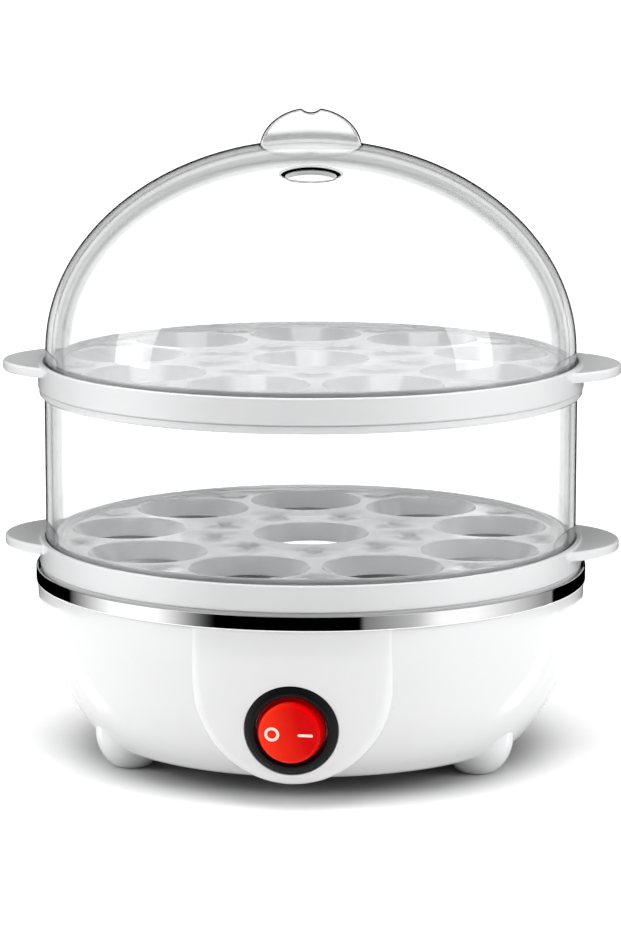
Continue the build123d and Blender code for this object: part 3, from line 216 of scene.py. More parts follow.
# ---- Shader expressions --------------------------------------------------------------
class Value:
    """A shader socket that takes part in arithmetic; each operator adds a Math node."""

    def __init__(self, graph, socket):
        self.graph, self.socket = graph, socket

    def math(self, operation, *others):
        return self.graph.node("ShaderNodeMath", {"operation": operation}, [self, *others])

    def __add__(self, other):
        return self.math("ADD", other)

    def __sub__(self, other):
        return self.math("SUBTRACT", other)

    def __mul__(self, other):
        return self.math("MULTIPLY", other)

    def __truediv__(self, other):
        return self.math("DIVIDE", other)

    def __rsub__(self, other):
        return self.graph.node("ShaderNodeMath", {"operation": "SUBTRACT"}, [other, self])

    __radd__ = __add__
    __rmul__ = __mul__

    def clamp(self):
        return self.graph.node("ShaderNodeClamp", {}, [self, 0.0, 1.0])

    def power(self, exponent):
        return self.math("POWER", exponent)

    def step(self, low, high):
        """Smooth change from 0 at low to 1 at high."""
        t = ((self - low) / (high - low)).clamp()
        return t * t * (3 - 2 * t)


class Graph:
    """The node tree of a material or the world."""

    def __init__(self, owner):
        owner.use_nodes = True
        self.owner, self.tree = owner, owner.node_tree
        self.tree.nodes.clear()

    def node(self, kind, settings=None, inputs=None, output=0):
        """One node: its settings first, then its sockets by place or name, and one output back."""
        made = self.tree.nodes.new(kind)
        for key, value in (settings or {}).items():
            setattr(made, key, value)
        pairs = inputs.items() if isinstance(inputs, dict) else enumerate(inputs or [])
        for key, value in pairs:
            if isinstance(value, Value):
                self.tree.links.new(value.socket, made.inputs[key])
            elif value is not None:
                made.inputs[key].default_value = value
        return Value(self, made.outputs[output]) if made.outputs else made

    def place(self):
        """Object coordinates, which are the row frame in metres."""
        return self.node("ShaderNodeTexCoord", {}, {}, "Object")

    def xyz(self):
        """The three object coordinates, one by one."""
        made = self.node("ShaderNodeSeparateXYZ", {}, [self.place()]).socket.node
        return [Value(self, made.outputs[i]) for i in range(3)]

    def noise(self, scale, detail=2.0, roughness=0.5, vector=None):
        sockets = {"Vector": vector or self.place(), "Scale": scale, "Detail": detail}
        return self.node("ShaderNodeTexNoise", {}, {**sockets, "Roughness": roughness})

    def mix(self, factor, a, b):
        """Colour a where the factor is 0 and b where it is 1."""
        return self.node("ShaderNodeMix", {"data_type": "RGBA"}, {0: factor, 6: a, 7: b}, 2)

    def bump(self, height, strength, distance):
        sockets = {"Strength": strength, "Distance": distance, "Height": height}
        return self.node("ShaderNodeBump", {}, sockets)

    def blend(self, factor, a, b):
        """Shader a where the factor is 0 and b where it is 1."""
        return self.node("ShaderNodeMixShader", {}, [factor, a, b])

    def ray(self, kind):
        """One output of a Light Path node."""
        return self.node("ShaderNodeLightPath", {}, {}, kind)

    def principled(self, sockets):
        return self.node("ShaderNodeBsdfPrincipled", {}, sockets)

    def finish(self, shader, kind="Material"):
        self.node(f"ShaderNodeOutput{kind}", {}, {"Surface": shader})
        return self.owner


def rgba(colour, factor=1.0):
    """Colour with its alpha, made lighter or darker by a factor."""
    return (*(min(c * factor, 1.0) for c in colour), 1.0)


def neutral(tone):
    return (tone, tone, tone, 1.0)


BLACK, WHITE = neutral(0.0), neutral(1.0)


def moulded(name, colour, roughness, coat=0.0, depth=0.008, specular=0.5):
    """Moulded plastic: a faint cloudiness in its colour and gloss, and a very fine surface grain
    of a given depth in millimetres."""
    graph = Graph(bpy.data.materials.new(name))
    cloud = graph.noise(38.0, 3.0)
    grain = graph.noise(2600.0, 2.0)
    shader = graph.principled({
        "Base Color": graph.mix(cloud, rgba(colour, 0.985), rgba(colour, 1.012)),
        "Roughness": (cloud - 0.5) * (roughness * 0.25) + roughness,
        "Specular IOR Level": specular,
        "Coat Weight": coat,
        "Coat Roughness": 0.05,
        "Normal": graph.bump(grain, 0.12, depth * MM),
    })
    return graph.finish(shader)


def metal(name, colour, roughness, brush=None, strength=0.05):
    """Metal: brushed lines run round the Z axis or along one direction, with faint smudges."""
    graph = Graph(bpy.data.materials.new(name))
    if brush == "round":
        x, y, z = graph.xyz()
        radius = (x * x + y * y).power(0.5)
        lines_at = graph.node("ShaderNodeCombineXYZ", {}, [radius * 900.0, z * 900.0, 0.0])
        lines = graph.noise(1.0, 4.0, 0.65, lines_at)
    else:
        lines = graph.noise(300.0, 3.0)
    smudge = graph.noise(30.0, 3.0)
    uneven = (smudge - 0.5) * (roughness * 0.4) + (lines - 0.5) * (roughness * 0.3)
    shader = graph.principled({
        "Base Color": graph.mix(lines, rgba(colour, 0.94), rgba(colour, 1.04)),
        "Metallic": 1.0,
        "Roughness": uneven + roughness,
        "Normal": graph.bump(lines, strength, 0.02 * MM),
    })
    return graph.finish(shader)


def vent_wall(graph):
    """1 on the steam vent's wall and 0 elsewhere. A place on the dome is laid out flat by its
    angle from the top, and the wall lies where that flat place is inside the vent's oval."""
    sizes = bpy.context.scene.boiler_sizes
    turn, radius = math.radians(VIEW_TURN), LID[1][0]
    down = math.asin(sizes.vent_radius / radius)
    scale = radius * math.sin(down) / down
    x, y, z = graph.xyz()
    across = x * math.cos(turn) + y * math.sin(turn)
    ahead = y * -math.cos(turn) + x * math.sin(turn)
    out = (across * across + ahead * ahead).power(0.5)
    level = z - (LID[0][2] + sizes.dome_skirt)
    angle = (out / radius).math("ARCTAN2", level / sizes.dome_rise)
    flat_x = across / out * angle / (sizes.vent_length / 2 / scale)
    flat_y = (ahead / out * angle - down) / (sizes.vent_width / 2 / scale)
    return 1 - (flat_x * flat_x + flat_y * flat_y).step(1.0, 1.06)


def clear_plastic(name, colour):
    """Clear polished plastic that refracts. Where it is seen edge on its colour is painted dark,
    with a pale and then a painted grey band beside the dark line: painted shade that stands in for
    the dark lines a thick moulded wall shows there by refraction. The vent's cut wall is grey,
    with a painted glow."""
    graph = Graph(bpy.data.materials.new(name))
    edge = graph.node("ShaderNodeLayerWeight", {}, {"Blend": 0.5}, "Facing")
    cloud = graph.noise(16.0, 2.0)
    z = graph.xyz()[2]
    # Painted shade: dark where the wall is seen edge on, with a painted grey band beside it,
    # standing in for the lines a thick wall shows by refraction.
    band = edge - (1 - z.step(LID[0][2] - MM, LID[0][2] + MM)) * 0.085
    grey = band.step(0.61, 0.65) * (1 - band.step(0.71, 0.75)) * (cloud * 0.3 + 0.35)
    dark = edge.step(0.86, 0.91) * 0.97
    clear = graph.principled({
        "Base Color": graph.mix(1 - grey - dark, BLACK, rgba(colour)),
        "Roughness": 0.0,
        "IOR": 1.45,
        "Transmission Weight": 1.0,
    })
    cut = graph.principled({
        "Base Color": graph.mix(graph.noise(500.0), neutral(0.38), neutral(0.46)),
        "Roughness": cloud * 0.1 + 0.35,
        # Painted glow: the vent's cut wall gives off a little light of its own, which lightens its
        # grey.
        "Emission Color": WHITE,
        "Emission Strength": 0.22,
    })
    return graph.finish(graph.blend(vent_wall(graph), clear, cut))


def frosted_plastic(name, colour, foot, tip):
    """Clear plastic, lightly frosted, with painted shade in its colour: grey at its foot, paler
    towards its tip and painted dark where it is seen edge on."""
    graph = Graph(bpy.data.materials.new(name))
    z = graph.xyz()[2]
    edge = graph.node("ShaderNodeLayerWeight", {}, {"Blend": 0.5}, "Facing")
    # Painted shade: grey at the foot, paler towards the tip, and dark where the tab is seen edge
    # on.
    tone = (((z - foot) / (tip - foot)).clamp() * 0.08 + 0.92) * (1 - edge.step(0.18, 0.42))
    shader = graph.principled({
        "Base Color": graph.mix(tone, BLACK, rgba(colour)),
        "Roughness": graph.noise(60.0) * 0.04 + 0.20,
        "IOR": 1.45,
        "Transmission Weight": 1.0,
    })
    return graph.finish(shader)


# ---- Sizes and colours ---------------------------------------------------------------
def length(name, description, default, low=0.0, high=1.0):
    return FloatProperty(
        name=name, description=description, default=default * MM, min=low, max=high, unit="LENGTH"
    )


def colour(name, description, default):
    return FloatVectorProperty(
        name=name, description=description, default=default, size=3, min=0, max=1, subtype="COLOR"
    )


class BoilerSizes(bpy.types.PropertyGroup):
    edge: length("Edge rounding", "Rounding of moulded edges", 0.5)
    clear_wall: length("Clear wall", "Thickness of the clear plastic", 2.0)
    dome_skirt: length("Dome skirt", "Height of the dome's straight part", 7.7)
    dome_rise: length("Dome rise", "Height of the dome's curved part", 69.2)
    vent_radius: length("Vent place", "Steam vent's distance from the axis", 40.7)
    vent_length: length("Vent length", "Steam vent, side to side", 16.2)
    vent_width: length("Vent width", "Steam vent, up the dome", 7.5)
    tab_width: length("Tab width", "Finger tab at its foot", 33.8)
    tab_root: length("Tab root", "Tab's centre below the top of the dome", 3.2)
    tab_rise: length("Tab rise", "Top of the tab above the top of the dome", 10.57)
    tab_foot: length("Tab foot", "Thickness of the tab at its foot", 9.0)
    tab_tip: length("Tab tip", "Thickness of the tab at its tip", 4.4)
    notch_radius: length("Notch radius", "Radius of the tab's notch", 4.5)
    notch_depth: length("Notch depth", "Depth of the tab's notch", 1.5)
    egg_ring: length("Egg ring", "Radius of the ring of egg seats", 62.0)
    egg_hole: length("Egg hole", "Radius of an egg seat at the tray's floor", 19.5)
    egg_seat: length("Egg seat", "Radius of an egg seat at its lower edge", 15.5)
    egg_cup: length("Egg cup depth", "Depth of an egg seat", 5.8)
    ear_round: length("Ear radius", "Radius of the trays' ears", 28.8)
    ear_thick: length("Ear thickness", "Thickness of the trays' ears", 3.3)
    panel_round: length("Panel radius", "Radius of the front panel's lower end", 31.7)
    panel_height: length("Panel centre", "Height of the panel's round end's centre", 39.2)
    panel_edge: length("Panel edge", "Rounding of the panel's front edge", 3.4)
    foot_radius: length("Foot radius", "Radius of a foot", 11.8)
    foot_tip: length("Foot tip", "Radius of a foot's flat tip", 6.2)
    foot_round: length("Foot rounding", "Height at which a foot becomes straight", 11.5)


class BoilerColours(bpy.types.PropertyGroup):
    white: colour("White plastic", "Bowl, trays and feet", (0.82, 0.823, 0.83))
    # The tray colour is painted shade: a darker copy of the white plastic, which the trays share
    # with the bowl.
    tray: colour("Tray plastic", "Egg trays", (0.75, 0.753, 0.76))
    cover: colour("Cover plastic", "Bottom cover", (0.80, 0.80, 0.80))
    clear: colour("Clear plastic", "Lid and middle wall", (0.985, 0.99, 0.992))
    chrome: colour("Chrome", "Trim ring", (0.80, 0.80, 0.80))
    steel: colour("Steel", "Water dish and posts", (0.62, 0.63, 0.64))
    black: colour("Black plastic", "Switch bezel and cord gland", (0.006, 0.006, 0.0065))
    red: colour("Red lens", "Rocker", (0.54, 0.0, 0.0005))
    # The glow colour is the bright side of the lens's painted glow, which stands in for the lamp
    # inside.
    painted_glow_amber: colour("Lit lens", "Rocker's lit side", (0.95, 0.045, 0.012))
    cream: colour("Marks", "Marks on the rocker", (0.95, 0.84, 0.70))


# ---- Forms ---------------------------------------------------------------------------
def tray_rim(lip):
    """Outline of a tray's rim from the floor's upper edge, over the rim, to its under edge."""
    corners = np.array([
        (82.2, -0.2), (82.8, 0.4), (84.0, 0.4), (84.6, 1.2), (85.6, 1.2), (85.6, -5.0),
        (88.75, -5.0), (88.75, 0.0), (90.5, 0.0), (90.5, -8.5), (89.7, -8.5), (89.7, -8.9),
        (90.1, -8.9), (90.1, -10.6), (89.3, -11.4), (88.75, -11.4), (88.75, -6.8), (86.05, -6.8),
        (86.05, -9.5), (84.55, -9.5), (83.8, -8.75), (83.8, -2.0),
    ])
    radius = np.array([
        0, 0.3, 0.3, 0.4, 0.4, 0.3, 0.3, 0.5, 0.6, 0.35, 0.1, 0.1, 0.3, 0.5, 0.4, 0.1, 0.1, 0.1,
        0.2, 0.3, 0.2, 0,
    ])
    path = rounded(corners, radius, closed=False) * MM
    return path + (0, lip)


def seats(sizes):
    """Centres of the egg seats: the middle and nine around it."""
    a = np.radians(SEAT_TURN + SEAT_PITCH * np.arange(9))
    around = sizes.egg_ring * np.stack([np.sin(a), -np.cos(a)], axis=1)
    return np.concatenate([[(0.0, 0.0)], around])


def steam_holes():
    """Centres of the steam holes, between the egg seats."""
    a = np.radians(HOLE_TURN + SEAT_PITCH * np.arange(9))
    way = np.stack([np.sin(a), -np.cos(a)], axis=1)
    return np.concatenate([way * ring for ring in HOLE_RINGS])


def tray_shells(sizes, lip):
    """A tray's rim, and its floor with egg seats and steam holes."""
    top, under = lip - 0.2 * MM, lip - 2.0 * MM
    lean = (sizes.egg_hole - sizes.egg_seat) / sizes.egg_cup
    cup_wall = 1.4 * MM
    cup_low = top - sizes.egg_cup
    under_r = sizes.egg_seat + cup_wall + lean * (under - cup_low)
    mouth_r = sizes.egg_hole + sizes.edge
    cup = rounded(
        [
            (mouth_r, top),
            (sizes.egg_hole - 0.1 * MM, top),
            (sizes.egg_seat, cup_low),
            (sizes.egg_seat + cup_wall, cup_low),
            (under_r, under),
        ],
        np.array([0, 0.5, 0.3, 0.3, 0]) * MM,
        closed=False,
    )
    dimple = rounded(
        [(DIMPLE_R, top), (HOLE_R, top - 0.9 * MM), (HOLE_R, under)],
        np.array([0, 0.2, 0]) * MM,
        closed=False,
    )
    cups, dishes = seats(sizes), steam_holes()
    shells = [turned(tray_rim(lip))]
    shells += [turned(cup, 72, seat) for seat in cups]
    shells += [turned(dimple, 24, hole) for hole in dishes]
    upper = [circle(mouth_r, 72, x, y) for x, y in cups]
    upper += [circle(DIMPLE_R, 24, x, y) for x, y in dishes]
    lower = [circle(under_r, 72, x, y) for x, y in cups]
    lower += [circle(HOLE_R, 24, x, y) for x, y in dishes]
    shells.append(sheet_with_holes(circle(FLOOR_EDGE, TURN), upper, top))
    shells.append(sheet_with_holes(circle(UNDER_EDGE, TURN), lower, under))
    return shells


def ear_shell(sizes, lip, side):
    """Ear: top and under faces ruled between the rim and a round outline, with a rounded edge."""
    reach, rim = UPPER[1][0], 89.6 * MM
    round_r, soft = sizes.ear_round, 0.8 * MM
    centre = reach - round_r
    meet_x = (rim ** 2 - round_r ** 2 + centre ** 2) / (2 * centre)
    tip = math.atan2(math.sqrt(rim ** 2 - meet_x ** 2), meet_x - centre)
    tip_in = math.atan2(math.sqrt(rim ** 2 - meet_x ** 2), meet_x)
    u = np.linspace(-1, 1, 65)
    way = np.stack([np.cos(u * tip), np.sin(u * tip)], axis=1)
    outer = np.array([centre, 0]) + round_r * way
    inner = rim * np.stack([np.cos(u * tip_in), np.sin(u * tip_in)], axis=1)
    room = np.minimum(soft, np.linalg.norm(outer - inner, axis=1))
    high, low = lip - 0.8 * MM, lip - 0.8 * MM - sizes.ear_thick
    flat_edge = outer - way * room[:, None] * 1.15
    above = [(inner + (flat_edge - inner) * share, high) for share in np.linspace(0, 1, 6)]
    for a in np.linspace(0, math.pi / 2, 6):
        bend = outer - way * (room * (1 - math.sin(a)))[:, None]
        above.append((bend, high - soft * (1 - math.cos(a))))
    below = [(flat, high + low - z) for flat, z in above[::-1]]
    rows = [np.column_stack([flat, np.full(len(u), z)]) for flat, z in above + below]
    points = np.array(rows)
    points[..., 0] *= side
    return grid(points, wrap_rows=True)


def dome_point(flat, inset, sizes):
    """Point on the dome for a point of a flat disc whose distance from the centre is the angle
    down from the top: x and y = R sin(angle), z = rise cos(angle), both drawn in by the inset."""
    angle = np.linalg.norm(flat, axis=-1)
    way = flat / np.maximum(angle, 1e-9)[..., None]
    radius = LID[1][0] - inset
    rise = sizes.dome_rise - inset
    across = (radius * np.sin(angle))[..., None] * way
    centre_z = LID[0][2] + sizes.dome_skirt
    return np.concatenate([across, (centre_z + rise * np.cos(angle))[..., None]], axis=-1)


def turned_z(points, degrees):
    """Points turned about the Z axis."""
    a = math.radians(degrees)
    x, y = points[..., 0].copy(), points[..., 1].copy()
    result = points.copy()
    result[..., 0] = x * math.cos(a) - y * math.sin(a)
    result[..., 1] = x * math.sin(a) + y * math.cos(a)
    return result


def dome_shell(sizes):
    """Dome wall as one closed grid: columns run round from the vent's oval to the rim, rows go up
    the outside, through the vent's edge, down the inside and round the lower rim."""
    steps = 288
    s = np.arange(steps) / steps * TAU
    radius = LID[1][0]
    down = math.asin(sizes.vent_radius / radius)
    scale = radius * math.sin(down) / down
    oval = np.stack([
        sizes.vent_length / 2 / scale * np.cos(s),
        -down + sizes.vent_width / 2 / scale * np.sin(s),
    ], axis=1)
    rim = math.pi / 2 * np.stack([np.cos(s), np.sin(s)], axis=1)
    out = (1 - np.linspace(0, 1, 61) ** 1.35)[:-1]
    soft = 0.002
    edge = [(soft, 0), (0.35 * soft, 0.06), (0, 0.3), (0, 0.7), (0.35 * soft, 0.94), (soft, 1)]
    path = [(t, 0.0) for t in out if t > 2 * soft] + edge
    path += [(t, 1.0) for t in out[::-1] if t > 2 * soft]
    rows = [dome_point(oval + (rim - oval) * t, w * sizes.clear_wall, sizes) for t, w in path]
    skirt = rounded(
        [
            (radius - sizes.clear_wall, LID[0][2] + sizes.dome_skirt),
            (radius - sizes.clear_wall, LID[0][2]),
            (radius, LID[0][2]),
            (radius, LID[0][2] + sizes.dome_skirt),
        ],
        np.array([0, 0.35, 0.35, 0]) * MM,
        closed=False,
    )[1:-1]
    across = np.stack([np.cos(s), np.sin(s)], axis=1)
    for r, z in skirt:
        rows.append(np.column_stack([r * across, np.full(steps, z)]))
    points = turned_z(np.array(rows), VIEW_TURN)
    return grid(points, wrap_rows=True, wrap_cols=True)


def tab_shell(sizes):
    """Finger tab: half an ellipse with a notch at its top, ruled down to its foot, thinning
    evenly from foot to tip, with a rounded edge."""
    root = LID[0][2] + sizes.dome_skirt + sizes.dome_rise - sizes.tab_root
    top = root + sizes.tab_root + sizes.tab_rise
    half_w, tall, soft = sizes.tab_width / 2, top - root, 1.0 * MM
    u = np.linspace(0, math.pi, 161)
    x = half_w * np.cos(u)
    z = root + tall * np.sin(u)
    notch_z = top - sizes.notch_depth + sizes.notch_radius
    depth = np.sqrt(np.maximum(sizes.notch_radius ** 2 - x ** 2, 0))
    notch = np.where(np.abs(x) < sizes.notch_radius, notch_z - depth, 1.0)
    blend = 0.35 * MM
    gap = np.abs(np.clip((notch - z) / blend, -1, 1))
    z = np.minimum(notch, z) - blend * (1 - gap) ** 2 / 4
    out = np.stack([np.gradient(z), -np.gradient(x)], axis=1)
    out /= np.linalg.norm(out, axis=1)[:, None]
    outline = np.stack([x, z], axis=1)

    def half(height):
        share = (height - root) / tall
        return (sizes.tab_foot * (1 - share) + sizes.tab_tip * share) / 2

    turn = np.linspace(0, math.pi / 2, 7)
    rows = []
    inner = outline - out * soft
    for share in np.linspace(0, 1, 12)[:-1]:
        height = root + (inner[:, 1] - root) * share
        rows.append(np.column_stack([inner[:, 0], -half(height), height]))
    for a in turn:
        x, z = (outline - out * (soft * (1 - math.sin(a)))).T
        rows.append(np.column_stack([x, -half(z) + soft * (1 - math.cos(a)), z]))
    rows += [row * (1, -1, 1) for row in rows[::-1]]
    return grid(turned_z(np.array(rows), VIEW_TURN), wrap_rows=True)


def panel_face(x, z):
    """The panel's front at x and z: a turned face that leans in towards the bottom."""
    radius = PANEL_TOP - PANEL_ARC + np.sqrt(PANEL_ARC ** 2 - (ARC_Z - z) ** 2)
    return -np.sqrt(np.maximum(radius ** 2 - x ** 2, 1e-9))


def bowl_side(z):
    """The bowl's radius at a height."""
    return BOWL_ARC_X + np.sqrt(BOWL_ARC ** 2 - (ARC_Z - z) ** 2)


SWITCH_Z = 26 * MM
SWITCH_LEAN = math.asin((ARC_Z - SWITCH_Z) / PANEL_ARC)
SWITCH_OUT = np.array([0.0, -math.cos(SWITCH_LEAN), -math.sin(SWITCH_LEAN)])
SWITCH_UP = np.array([0.0, -math.sin(SWITCH_LEAN), math.cos(SWITCH_LEAN)])
SWITCH_SEAT = np.array([0.0, float(panel_face(0.0, SWITCH_Z)), SWITCH_Z]) - SWITCH_OUT * 2.0 * MM


def switch_place(points):
    """Points of a surface of revolution about the switch's axis, from its seat outwards."""
    across = np.array([1.0, 0.0, 0.0])
    x, y, z = points[..., :1], points[..., 1:2], points[..., 2:]
    return SWITCH_SEAT + x * across - y * SWITCH_UP + z * SWITCH_OUT


def rocker_place(points):
    """The same, turned four degrees about the pivot so that the O side is pressed in."""
    pivot = -3.2 * MM
    a = math.radians(-4.0)
    x, z = points[..., 0].copy(), points[..., 2] - pivot
    tilted = points.copy()
    tilted[..., 0] = x * math.cos(a) + z * math.sin(a)
    tilted[..., 2] = -x * math.sin(a) + z * math.cos(a) + pivot
    return switch_place(tilted)


def panel_shells(sizes):
    """Front panel: a face ruled from the switch's round seat to the tongue outline, a rounded
    edge along the tongue's sides and lower end, and the wall of the switch's seat."""
    flare = math.radians(5.3)
    round_r, centre, soft = sizes.panel_round, sizes.panel_height, sizes.panel_edge
    top = BOWL[1][2]
    side_x, side_z = round_r * math.cos(flare), centre - round_r * math.sin(flare)
    rise = np.linspace(0, 1, 41)
    arc = np.linspace(math.pi + flare, TAU - flare, 121)
    round_x, round_z = round_r * np.cos(arc), centre + round_r * np.sin(arc)
    tall = top - side_z
    left_x = -(side_x + tall * math.tan(flare) * rise[::-1])
    left_z = side_z + tall * rise[::-1]
    x = np.concatenate([left_x[:-1], round_x, -left_x[::-1][1:]])
    z = np.concatenate([left_z[:-1], round_z, left_z[::-1][1:]])
    way_left = np.broadcast_to([-math.cos(flare), -math.sin(flare)], (len(rise) - 1, 2))
    way_round = np.stack([np.cos(arc), np.sin(arc)], axis=1)
    way = np.concatenate([way_left, way_round, way_left * (-1, 1)])
    outline = np.stack([x, z], axis=1)
    rows = []
    for t in np.linspace(0, math.pi / 2, 9):
        flat = outline - way * (soft * (1 - math.sin(t)))
        depth = soft * (1 - math.cos(t))
        rows.append(np.column_stack([flat[:, 0], panel_face(*flat.T) + depth, flat[:, 1]]))
    under = bowl_side(np.minimum(z, top)) - 1.2 * MM
    back = -np.sqrt(np.maximum(under ** 2 - x ** 2, (20 * MM) ** 2))
    rows.append(np.column_stack([x, np.maximum(back, rows[-1][:, 1] + 0.2 * MM), z]))
    edge = np.array(rows)
    face_edge = outline - way * soft
    face_edge[:, 1] = np.minimum(face_edge[:, 1], top)
    across = np.linspace(face_edge[-1, 0], face_edge[0, 0], 60)[1:-1]
    loop = np.concatenate([face_edge, np.column_stack([across, np.full(58, top)])])
    angle = np.unwrap(np.arctan2(loop[:, 1] - SWITCH_Z, loop[:, 0]))
    ring = np.column_stack([np.cos(angle), -np.sin(angle), 0 * angle])
    seat = switch_place(SWITCH_SEAT_R * ring)
    high = seat + SWITCH_OUT * 2.0 * MM
    for _ in range(6):
        high = high + SWITCH_OUT * (high[:, 1] - panel_face(high[:, 0], high[:, 2]))[:, None]
    rows = []
    lip = 0.35 * MM
    outward = np.column_stack([np.cos(angle), 0 * angle, np.sin(angle)])
    first = high + outward * lip
    first[:, 1] = panel_face(first[:, 0], first[:, 2])
    for share in np.linspace(0, 1, 26):
        flat = first[:, [0, 2]] + (loop - first[:, [0, 2]]) * share ** 1.2
        rows.append(np.column_stack([flat[:, 0], panel_face(*flat.T), flat[:, 1]]))
    face = np.array(rows)
    inward = high - SWITCH_OUT * lip
    well = np.array([first, high * 0.55 + 0.225 * (first + inward), inward, seat])
    return [grid(edge), grid(face, wrap_cols=True), grid(well, wrap_cols=True)]


def bowl_shell():
    """Bowl: the turned side, rounded into the flat bottom, with the rim and the inside wall."""
    high = BOWL[1][2]
    low = BOWL[0][2]
    mouth = COVER[1][0] + 0.3 * MM
    ledge_r, inside_z = mouth - 6.3 * MM, low + 4.6 * MM
    z = np.linspace(high - 2 * MM, inside_z, 48)
    outer = np.column_stack([bowl_side(z), z])
    brim = rounded(
        [(86.6 * MM, high), (bowl_side(high), high), outer[0]],
        np.array([0, 0.5, 0]) * MM, 6, False,
    )
    corner = rounded(
        [outer[-1], (bowl_side(low), low), (mouth, low)], np.array([0, 6.0, 0]) * MM, 12, False
    )
    ledge = rounded(
        [
            (mouth, low), (mouth, low + 2.2 * MM), (ledge_r, low + 2.2 * MM), (ledge_r, inside_z),
            (bowl_side(inside_z) - 2.6 * MM, inside_z),
        ],
        0.2 * MM, 3, False,
    )
    z = np.linspace(low + 4.8 * MM, high - 3.3 * MM, 30)
    inner = np.column_stack([bowl_side(z) - 2.4 * MM, z])
    rim = [(86.6 * MM, high - 3.3 * MM)]
    outline = np.concatenate([brim, outer[1:-1], corner[1:], ledge[1:], inner, rim])
    return turned(outline, 288, closed=True)


def pad_shell():
    """Boss at the back for the cord gland: a short post along Y with a rounded edge."""
    outline = rounded([(9.99, 72.0), (9.99, 87.2), (6.0, 87.2), (6.0, 72.0)], [0, 0.6, 0.2, 0], 5)
    return along_y(outline * MM, 64)


def along_y(outline, steps):
    """Closed surface of revolution about the gland's axis, which runs along Y."""
    around = revolve(outline, steps)
    height = (GLAND[0][2] + GLAND[1][2]) / 2
    points = np.stack([around[..., 0], around[..., 2], height - around[..., 1]], axis=-1)
    return grid(points, wrap_rows=True, wrap_cols=True)


def foot_shell(sizes, x, y):
    """Foot: a post whose lower end curves in to a flat tip round its pad. No point lies higher
    than the bowl's outside over it, so the foot's top follows the bowl."""
    radius, round_z, tip_z = sizes.foot_radius, sizes.foot_round, 0.4 * MM
    rise, run = round_z - tip_z, radius - sizes.foot_tip
    arc_r = (rise ** 2 + run ** 2) / (2 * run)
    t = np.linspace(0, math.atan2(rise, arc_r - run), 24)
    side = np.column_stack([radius - arc_r + arc_r * np.cos(t), round_z - arc_r * np.sin(t)])
    tip = rounded(
        [side[-2], side[-1], (5.5 * MM, 0.4 * MM), (5.5 * MM, 1.4 * MM), (1e-6, 1.4 * MM)],
        np.array([0, 0.5, 0.2, 0, 0]) * MM, 4, False,
    )
    shaft_z = np.linspace(17 * MM, round_z, 12)[:-1]
    shaft = np.column_stack([np.full(11, radius), shaft_z])
    cap_r = np.linspace(1e-6, radius, 8)[:-1]
    cap = np.column_stack([cap_r, np.full(7, 17 * MM)])
    points = revolve(np.concatenate([cap, shaft, side[:-2], tip]), 72, (x, y))
    out = np.linalg.norm(points[..., :2], axis=-1)
    under = ARC_Z - np.sqrt(BOWL_ARC ** 2 - np.clip(out - BOWL_ARC_X, 0, 79 * MM) ** 2)
    under = np.maximum(under, BOWL[0][2]) + 0.5 * MM
    points[..., 2] = np.minimum(points[..., 2], under)
    return grid(points, wrap_cols=True)


# ---- Finishes ------------------------------------------------------------------------
def red_lens(name, red, painted_glow_amber):
    """Translucent red lens on a dark red flange, with a fine cloudiness. Its glow is painted
    light: lighter and more orange towards its lower left and deep red towards its right, it stands
    in for the lamp inside shining through the lens. The flange is painted darker, as shade in its
    recess."""
    graph = Graph(bpy.data.materials.new(name))
    x, _, z = graph.xyz()
    cloud = graph.noise(90.0, 2.0)
    # Painted glow: lighter and more orange towards the lower left, deep red towards the right, as
    # the lamp inside would light the lens.
    lean = (x * -42.0 + (z - SWITCH_Z) * -12.0 + cloud * 0.3 + 0.05).clamp()
    across, up = x / MM, (z - SWITCH_Z) / (MM * SWITCH_UP[2])
    out = (across * across + up * up).power(0.5)
    # Painted shade: the flange round the lens sits down in its recess and is made darker in colour
    # and glow.
    flange = out.step(9.85, 10.05)
    lit = graph.mix(lean, rgba(red), rgba(painted_glow_amber))
    shader = graph.principled({
        "Base Color": graph.mix(flange, lit, (0.30, 0.0, 0.001, 1.0)),
        "Roughness": cloud * 0.05 + 0.16,
        "Specular IOR Level": 0.05,
        # The emission is painted glow: the lens gives off light of its own though it is no lamp.
        "Emission Color": graph.mix(flange, lit, (0.22, 0.0, 0.001, 1.0)),
        "Emission Strength": 0.33,
    })
    return graph.finish(shader)


def striped(name, colour, stripe, scale):
    """Wire sleeve with a stripe or a weave that winds round it."""
    graph = Graph(bpy.data.materials.new(name))
    bands = {"Scale": scale, "Distortion": 1.5}
    wave = graph.node("ShaderNodeTexWave", {"wave_type": "BANDS"}, bands)
    shader = graph.principled({
        "Base Color": graph.mix(wave.step(0.4, 0.6), rgba(colour), rgba(stripe)),
        "Roughness": graph.noise(60.0) * 0.15 + 0.4,
    })
    return graph.finish(shader)


FINISHES = {}


